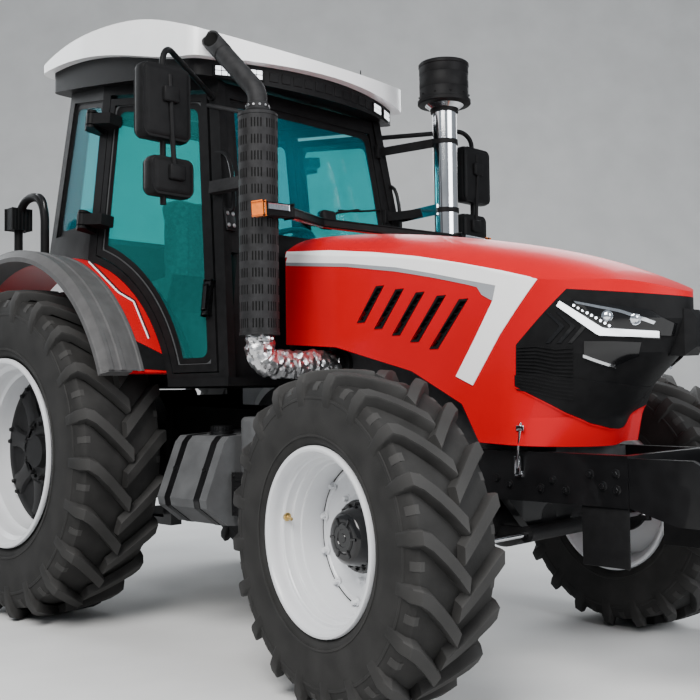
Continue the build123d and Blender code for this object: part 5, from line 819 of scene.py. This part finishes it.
# Cab and roof
def pane_loops(node):
    # The outer edge of each pane in a node, in order, with the pane's outward normal.
    bm = bmesh.new()
    bm.from_mesh(nodes[node].data)
    bmesh.ops.remove_doubles(bm, verts=bm.verts[:], dist=1e-5)
    bmesh.ops.recalc_face_normals(bm, faces=bm.faces[:])
    left = dict.fromkeys(bm.faces)
    found = []
    while left:
        stack = [left.popitem()[0]]
        group = []
        while stack:
            face = stack.pop()
            group.append(face)
            for edge in face.edges:
                for other in edge.link_faces:
                    if other in left:
                        del left[other]
                        stack.append(other)
        middle = sum((f.calc_center_median() for f in group), Vector()) / len(group)
        normal = max(group, key=lambda f: f.calc_area()).normal.copy()
        if normal.dot(middle - vec(-0.7, 0, middle.z)) < 0:
            normal = -normal
        skin = dict.fromkeys(f for f in group if f.normal.dot(normal) > 0.95)
        ahead = {}
        for face in skin:
            for loop in face.loops:
                if not any(f in skin for f in loop.edge.link_faces if f is not face):
                    ahead[loop.vert] = loop.link_loop_next.vert
        first = next(iter(ahead))
        line, at = [first.co.copy()], ahead[first]
        while at is not first:
            line.append(at.co.copy())
            at = ahead[at]
        found.append((line, normal))
    bm.free()
    return found


def pane_rings(node, border_name, seal_name, seal_look, body):
    # A dark printed border on each pane of a node and a rubber seal round its edge.
    frit, seal = bmesh.new(), bmesh.new()
    for points, normal in pane_loops(node):
        middle = sum(points, Vector()) / len(points)
        across = normal.cross(UP).normalized()
        other = normal.cross(across)
        flat = [Vector(((p - middle).dot(across), (p - middle).dot(other))) for p in points]
        shape = []
        for p in flat:
            if not shape or (p - shape[-1]).length > 0.012:
                shape.append(p)
        if (shape[0] - shape[-1]).length < 0.012:
            shape.pop()
        for bm, steps in ((frit, "-34 -1, -34 0.8, -2 0.8"), (seal, "-5 0, -4 4, 1 6, 6 4, 7 -12")):
            quads(bm, [
                [middle + across * p.x + other * p.y + normal * rise for p in grown(shape, amount)]
                for amount, rise in milli(steps)
            ], close_row=True)
    make_piece(border_name, frit, "black_plastic", body)
    make_piece(seal_name, seal, seal_look, body)


def grown(shape, amount):
    # A closed flat line moved outwards, with rounded corners.
    line = []
    for i, p in enumerate(shape):
        a, b = shape[i - 1], shape[(i + 1) % len(shape)]
        one, two = (p - a).normalized(), (b - p).normalized()
        n1, n2 = Vector((one.y, -one.x)), Vector((two.y, -two.x))
        tip = n1 + n2
        line.append(p + tip * (amount / max(tip.dot(n1), 0.3)))
    rounded = []
    for i, p in enumerate(line):
        a, b = line[i - 1], line[(i + 1) % len(line)]
        cut = min(0.05, (a - p).length * 0.3, (b - p).length * 0.3)
        start, end = p + (a - p).normalized() * cut, p + (b - p).normalized() * cut
        for k in range(7):
            t = k / 6
            rounded.append(start * (1 - t) ** 2 + p * (2 * t * (1 - t)) + end * t * t)
    return rounded


def glass_dress():
    for hand, side in HANDS:
        body = f"door_{hand}"
        pane_rings(f"door_glass_{hand}", f"door_glass_border_{hand}", f"door_seal_{hand}", "seal", body)
        grip = bmesh.new()
        spot, normal = cast([body, f"door_glass_{hand}"], vec(-0.02, side * 2, 1.66), vec(0, -side, 0))
        along = X - normal * normal.x
        head = normal.cross(along)
        head = head if head.z > 0 else -head
        axes = (along.normalized(), normal, head.normalized())
        block(grip, spot + normal * 0.008, axes, (0.048, 0.02, 0.17), 0.008, 3)
        block(grip, spot + normal * 0.026, axes, (0.026, 0.014, 0.12), 0.006, 3)
        lock = milli("0 13, 6 12, 7 4, 4 3, 4 0")
        lathe(grip, spot + head * -0.065 + normal * 0.016, normal, lock, 20)
        make_piece(f"door_handle_{hand}", grip, "black_gloss", body)
    pane_rings("cab_glass", "cab_glass_border", "cab_glass_seal", "black_plastic", "chassis")


def lamp_box(bm, face, middle, aim, wide, tall, deep):
    # A work lamp: ribbed case, bezel and lit face.
    aim = aim.normalized()
    across = UP.cross(aim).normalized()
    head = aim.cross(across)
    axes = (aim, across, head)
    block(bm, middle, axes, (deep, wide, tall), 0.006, 2)
    for k in range(5):
        spot = middle - aim * (deep * 0.35) + across * (wide * (k - 2) * 0.19)
        block(bm, spot, axes, (deep * 0.5, wide * 0.05, tall * 1.06), 0.001, 1)
    block(bm, middle + aim * (deep * 0.5), axes, (0.008, wide * 1.04, tall * 1.04), 0.003, 2)
    for i in (-1, 0, 1):
        for j in (-0.5, 0.5):
            spot = middle + aim * (deep * 0.5 + 0.003) + across * (i * wide * 0.28) + head * (j * tall * 0.44)
            block(face, spot, axes, (0.006, wide * 0.25, tall * 0.38), 0.002, 2)


def visor_spot(y):
    return cast(["roof_base"], vec(1.0, y, 2.815), -X)


def work_lamps():
    dark, lit = bmesh.new(), bmesh.new()
    # Lamps let into the visor under the roof's front edge
    for y in (-0.6, -0.46, 0.46, 0.6):
        spot = visor_spot(y)
        if spot:
            lamp_box(dark, lit, spot[0] - spot[1] * 0.012, spot[1], 0.115, 0.056, 0.03)
    # Lamps on the fender rails face back, those by the screen face ahead
    for side in (-1, 1):
        lamp_box(dark, lit, vec(-1.6, side * 0.9, 2.23), -X, 0.118, 0.118, 0.088)
    for side in (-1, 1):
        base = cast(["hood_bulkhead", "cab_frame", "cab_glass", "hood"], vec(0.145, side * 0.4, 2.6), -UP)
        if base:
            lamp_box(dark, lit, base[0] + vec(0.04, 0, 0.135), vec(1, side * 0.15, -0.1), 0.085, 0.085, 0.06)
            tube(dark, [base[0] + vec(x, 0, z) for x, z in ((0, -0.01), (0.02, 0.06), (0.035, 0.12))], 0.009)
    make_piece("work_lamp_cases", dark, "black_plastic")
    make_piece("work_lamp_faces", lit, "lit")
    # Visor ribs and the aerial on the roof
    bm = bmesh.new()
    for k in range(-5, 6):
        spot = visor_spot(k * 0.07)
        if spot:
            block(bm, spot[0], (spot[1], UP.cross(spot[1]).normalized(), UP), (0.008, 0.05, 0.05), 0.002, 1)
    top = cast(["roof_cap"], vec(-0.25, 0.62, 4), -UP)
    lathe(bm, top[0], UP, milli("-4 26, 10 24, 18 12, 22 5, 30 4, 60 3, 62 0"), 16)
    make_piece("visor_trim", bm, "black_plastic")


def pillar_dress(hand, side):
    # Bracket plate on the front pillar and the grab rail beside the screen.
    spot, normal = on_side(at_pixel(["cab_frame"], 229, 220), side)
    plate, bolts = bmesh.new(), bmesh.new()
    across = UP.cross(normal).normalized()
    head = normal.cross(across)
    block(plate, spot + normal * 0.006, (normal, across, head), (0.014, 0.07, 0.115), 0.003)
    for i in (-0.019, 0.019):
        for j in (-0.03, 0.03):
            bolt(bolts, (spot + normal * 0.013 + across * i + head * j, normal), 0.007, 0.007)
    tube(plate, bend([spot + head * 0.04, spot + normal * 0.05 + head * 0.05, spot + normal * 0.055 + head * 0.33,
                      spot + head * 0.36 + vec(-0.055, 0, 0)], 2), 0.011)
    make_piece(f"pillar_plate_{hand}", plate, "black_paint")
    make_piece(f"pillar_bolts_{hand}", bolts, "steel")


def wiper():
    near = ["cab_glass", "cab_frame", "hood_bulkhead"]

    def screen(px, py, lift):
        spot, normal = at_pixel(near, px, py)
        return spot + normal * lift

    bm = bmesh.new()
    tube(bm, [screen(px, py, 0.012) for px, py in ((337, 211), (352, 212), (368, 211.5), (381, 210))], 0.006, 8)
    tube(bm, [screen(328, 222, 0.01), screen(334, 214, 0.022), screen(356, 211, 0.022)], 0.007, 8)
    spot, normal = at_pixel(near, 327, 220)
    across = UP.cross(normal).normalized()
    block(bm, spot, (normal, across, normal.cross(across)), (0.07, 0.1, 0.1), 0.02, 3)
    make_piece("wiper", bm, "black_plastic")


def side_lamp(hand, side):
    # A lamp on an arm beside the hood.
    flip = vec(1, -side, 1)
    tip, root = on_x(259, 208.5, 0.5) * flip, on_x(289, 212, 0.47) * flip
    base = at_pixel(["hood_bulkhead", "cab_frame", "hood", "cab_glass"], 326, 224)[0] * flip
    run = (tip - root).normalized()
    head = (UP - run * UP.dot(run)).normalized()
    depth = run.cross(head)
    axes = (run, depth, head)
    middle = (tip + root) * 0.5
    dark, clear, warm, under = [bmesh.new() for _ in range(4)]
    long = (tip - root).length
    block(dark, middle, axes, (long, 0.05, 0.058), 0.008, 3)
    aim = base - root
    along = aim.normalized()
    lift = (UP - along * UP.dot(along)).normalized()
    arm = (along, along.cross(lift), lift)
    block(dark, root + aim * 0.5, arm, (aim.length + 0.03, 0.02, 0.036), 0.006, 2)
    block(under, root + aim * 0.45 - lift * 0.02, arm, (aim.length * 0.85, 0.016, 0.012), 0.003, 2)
    block(warm, tip, axes, (0.024, 0.053, 0.06), 0.006, 3)
    front = depth if depth.x > 0 else -depth
    block(clear, middle + front * 0.024 + head * 0.012, axes, (long * 0.72, 0.008, 0.026), 0.003, 2)
    make_piece(f"side_lamp_arm_{hand}", dark, "black_plastic")
    make_piece(f"side_lamp_clear_{hand}", clear, "reflector")
    make_piece(f"side_lamp_amber_{hand}", warm, "amber")
    make_piece(f"side_lamp_red_{hand}", under, "red_lens")


exhaust_dress()
both(mirror_dress)
glass_dress()
work_lamps()
both(pillar_dress)
wiper()
both(side_lamp)


# Fenders, flares and lower body
# Flare section: across, rise over the solid
FLARE = milli(
    "914 -4, 916 4, 921 8, 936 8, 941 3, 957 3, 962 10, 985 10, 991 3, 1024 3, 1030 10, 1054 10, 1060 3, 1092 3, "
    "1098 10, 1120 10, 1126 3, 1140 3, 1149 -4"
)
FENDER_LINE = ((89, 261), (119, 292), (134, 301), (149, 338))
FENDER_FOOT = ([(134, 340), (147, 346.5), (162, 354)], [(131, 373.9), (148, 373.9), (167, 373.9)])


def fender_dress(hand, side):
    bm = bmesh.new()
    rows = []
    for y, lift in FLARE:
        hub = vec(-1.25, side * y, 0.93)
        row = []
        for k in range(73):
            turn = math.radians(21.3 + (151.7 - 21.3) * k / 72)
            out = vec(math.cos(turn), 0, math.sin(turn))
            spot = cast(["fender_flares", "fenders"], hub + out * 1.4, -out)
            row.append(spot[0] + out * lift if spot else hub + out * (1.04 + lift))
        rows.append(row)
    quads(bm, rows)
    make_piece(f"flare_ridges_{hand}", bm, "grey_plastic")
    for name, look, shift in (("light", "stripe", 0.0), ("dark", "stripe_black", 1.5)):
        bm = bmesh.new()
        line = [(x + shift, y - shift * 0.5) for x, y in FENDER_LINE]
        pixel_sheet(bm, ["fenders"], line, [(x - 1.0, y + 0.9) for x, y in line], 60, 1, side, 0.0012)
        make_piece(f"fender_line_{name}_{hand}", bm, look)
    bm = bmesh.new()
    pixel_sheet(bm, ["fenders"], *FENDER_FOOT, 12, 6, side, 0.0016)
    make_piece(f"fender_foot_{hand}", bm, "black_plastic")


def rail_grips():
    bm = bmesh.new()
    for side in (-1, 1):
        line = [(x, side * 0.9, z) for x, z in ((-1.6, 1.98), (-1.6, 2.34), (-1.29, 2.34), (-1.29, 1.99))]
        tube(bm, bend(line, 3), 0.025, 14)
    make_piece("rail_grips", bm, "black_plastic")


TANK_CAP = milli("0 62, 20 60, 22 52, 45 52, 50 47, 50 0")
BOX_CAP = milli("0 50, 12 50, 14 42, 36 42, 40 36, 40 0")
# Tank strap as (y, z)
STRAP = milli("-600 990, -690 985, -720 955, -830 690, -822 650, -700 560, -500 549")


def tank_dress():
    bm = bmesh.new()
    line = resample([vec(0, y, z) for y, z in STRAP], 60)
    middle = vec(0, -0.5, 0.77)
    for x in (-0.215, 0.02):
        quads(bm, [
            [p + (p - middle).normalized() * lift + vec(x + dx, 0, 0) for p in line]
            for dx, lift in ((-0.021, -0.002), (-0.021, 0.004), (0.021, 0.004), (0.021, -0.002))])
        bolt(bm, (vec(x, -0.775, 0.826), vec(0, -0.92, 0.38)), 0.01, 0.016)
    lathe(bm, vec(-0.1, -0.58, 0.985), UP, TANK_CAP, 36)
    for k in range(18):
        out = spoke(k * math.pi / 9)
        spot = vec(-0.1, -0.58, 1.019) + out * 0.052
        block(bm, spot, (out, UP.cross(out), UP), (0.006, 0.008, 0.022), 0.001, 1)
    make_piece("tank_straps", bm, "black_paint")
    bm = bmesh.new()
    lathe(bm, vec(0.195, -0.5, 1.078), UP, BOX_CAP, 32)
    for z in (0.66, 0.7, 0.74, 0.78):
        block(bm, vec(0.195, -0.691, z), AXES, (0.12, 0.006, 0.012), 0.002, 1)
    for x in (0.13, 0.26):
        for z in (0.63, 0.8):
            bolt(bm, (vec(x, -0.69, z), -Y), 0.007, 0.007)
    make_piece("side_box_trim", bm, "black_plastic")
    bm = bmesh.new()
    for z in (0.42, 0.69, 0.96):
        for k in range(9):
            for j in range(3):
                spot = vec(-0.265 + 0.041 * k, 0.68 + 0.04 * j, z + 0.026)
                block(bm, spot, AXES, (0.024, 0.012, 0.008), 0.002, 1)
    make_piece("step_grips", bm, "black_paint")


FRAME_BOLTS = (
    (497, 478), (510, 484), (541, 488), (553, 480), (566, 490), (590, 474), (603, 486), (616, 474), (617, 490),
)


def front_end():
    bm = bmesh.new()
    for px, py in FRAME_BOLTS:
        spot = at_pixel(["front_frame", "front_carrier"], px, py)
        if spot and abs(spot[1].y) > 0.7:
            for side in (-1, 1):
                bolt(bm, on_side(spot, side), 0.012, 0.014)
    for y in (-0.24, -0.08, 0.08, 0.24):
        for z in (0.79, 0.83):
            spot = cast(["front_carrier"], vec(3, y, z), -X)
            if spot:
                bolt(bm, spot, 0.012, 0.014)
    make_piece("frame_bolts", bm, "black_paint")
    # Plates hung under the frame beside the carrier
    bm = bmesh.new()
    for side in (-1, 1):
        block(bm, vec(1.905, side * 0.325, 0.635), AXES, (0.2, 0.012, 0.235), 0.004)
        block(bm, vec(1.905, side * 0.3, 0.748), AXES, (0.2, 0.06, 0.01), 0.003)
    make_piece("guard_plates", bm, "black_plastic")
    # Over-centre latch holding the hood
    hook, hook_out = at_pixel(["hood", "front_frame"], 520.5, 428)
    keep, keep_out = at_pixel(["front_frame", "hood"], 520, 470)
    up_end, low_end = hook + hook_out * 0.006, keep + keep_out * 0.014
    wire = (up_end + vec(0, 0.006, 0.02), up_end, up_end.lerp(low_end, 0.5) + vec(0, -0.008, 0), low_end)
    for hand, side in HANDS:
        flip = vec(1, -side, 1)
        bm = bmesh.new()
        tube(bm, [p * flip for p in wire], 0.005, 8)
        block(bm, (low_end + vec(0, 0, 0.02)) * flip, AXES, (0.03, 0.014, 0.075), 0.004, 2)
        block(bm, up_end * flip, AXES, (0.036, 0.01, 0.022), 0.003, 2)
        block(bm, (keep - vec(0, 0, 0.015)) * flip, AXES, (0.04, 0.018, 0.024), 0.003, 2)
        make_piece(f"hood_latch_{hand}", bm, "chrome")


both(fender_dress)
rail_grips()
tank_dress()
front_end()

# Seat
SWELL_FRAMES, SWELL_MOST = 20, 0.022


def evaluated(thing):
    return bpy.data.meshes.new_from_object(thing.evaluated_get(bpy.context.evaluated_depsgraph_get()))


def cushion(name, node, low, high, crown, fill):
    # A crowned pad inside its CAD solid, swollen by a short cloth run.
    bm = bmesh.new()
    size = high - low
    middle = (low + high) * 0.5
    block(bm, middle, AXES, size - vec(0.03, 0.03, 0.03), 0.045, 5)
    bmesh.ops.subdivide_edges(bm, edges=[e for e in bm.edges if e.calc_length() > 0.12], cuts=9, use_grid_fill=True)
    bmesh.ops.recalc_face_normals(bm, faces=bm.faces[:])
    pad = add_object(name, mesh_from(name, bm))
    remesh = pad.modifiers.new("voxels", "REMESH")
    remesh.mode = "VOXEL"
    remesh.voxel_size = 0.009
    shape = evaluated(pad)
    pad.modifiers.clear()
    pad.data = shape
    start = [v.co.copy() for v in shape.vertices]
    cloth = pad.modifiers.new("swell", "CLOTH").settings
    cloth.use_pressure = True
    cloth.uniform_pressure_force = 4.0
    cloth.effector_weights.gravity = 0.0
    for f in range(1, SWELL_FRAMES + 1):
        bpy.context.scene.frame_set(f)
    swollen = evaluated(pad)
    bpy.context.scene.frame_set(1)
    pad.modifiers.clear()
    for v, was in zip(swollen.vertices, start):
        move = v.co - was
        if move.length > SWELL_MOST:
            v.co = was + move.normalized() * SWELL_MOST
        v.co = Vector([min(max(c, a), b) for c, a, b in zip(v.co, low, high)])
    pad.data = swollen
    pad.data.name = name
    # Two grooves sewn into the crowned face
    for v in pad.data.vertices:
        reach = (v.co.y - middle.y) / (size.y / 2)
        groove = sum(math.exp(-((reach - c) * size.y / 2 / 0.006) ** 2) for c in (-0.55, 0.55))
        if (v.co - middle).dot(crown) > 0:
            v.co -= crown * 0.007 * groove
    for face in pad.data.polygons:
        face.use_smooth = True
    pad.data.materials.clear()
    pad.data.materials.append(M["fabric"])
    pad.modifiers.new("round", "SUBSURF").levels = 1
    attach(pad, "chassis")
    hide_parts(node)


cushion("seat_pad", "seat_cushion", *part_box("seat_cushion"), UP, 0.7)
cushion("seat_rest", "seat_back", *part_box("seat_back"), X, 0.7)


# Floor, light and camera
def stage_floor():
    # A pale sheet that runs up behind the tractor.
    bm = bmesh.new()
    steps = 24
    rows = []
    for i in range(steps + 1):
        t = i / steps
        rise = max(t - 0.72, 0) / 0.28
        rows.append([vec(14 - 30 * t + 2.0 * rise, y, 16.0 * rise * rise) for y in (-22.0, 22.0)])
    quads(bm, rows)
    mesh = mesh_from("floor", bm)
    mesh.shade_smooth()
    mesh.materials.append(M["floor"])
    floor = add_object("floor", mesh)
    floor.rotation_euler.z = math.radians(-45)


def area_light(name, place, target, size, power, colour):
    lamp = bpy.data.lights.new(name, "AREA")
    lamp.shape = "RECTANGLE"
    lamp.size, lamp.size_y = size
    lamp.energy = power
    lamp.color = colour
    holder = add_object(name, lamp)
    holder.location = place
    holder.rotation_euler = (Vector(target) - Vector(place)).to_track_quat("-Z", "Y").to_euler()


def photo_camera():
    data = bpy.data.cameras.new("photo_view")
    data.sensor_width = FILM
    data.lens = LENS
    camera = add_object("photo_view", data)
    turn = Matrix((VIEW_RIGHT, VIEW_UP, -VIEW_AHEAD)).transposed().to_4x4()
    camera.matrix_world = Matrix.Translation(EYE) @ turn
    bpy.context.scene.camera = camera


stage_floor()
photo_camera()
area_light("key", (3.5, -6.5, 7.5), (0.3, -0.3, 1.2), (5, 5), 1350, (1, 0.985, 0.96))
area_light("front", (8.0, 0.5, 4.0), (1.2, 0, 1.2), (5, 3.5), 480, (0.96, 0.98, 1))
area_light("fill", (-8.0, -1.5, 5.0), (-0.8, -0.5, 1.5), (5, 4), 300, (0.93, 0.97, 1))
area_light("back", (-4.0, 6.5, 6.0), (-0.5, 0, 2.0), (6, 4), 430, (0.95, 0.98, 1))
world = bpy.data.worlds.new("studio")
world.use_nodes = True
sky = world.node_tree.nodes["Background"].inputs
sky["Color"].default_value = (0.8, 0.86, 0.93, 1)
sky["Strength"].default_value = 0.4
bpy.context.scene.world = world
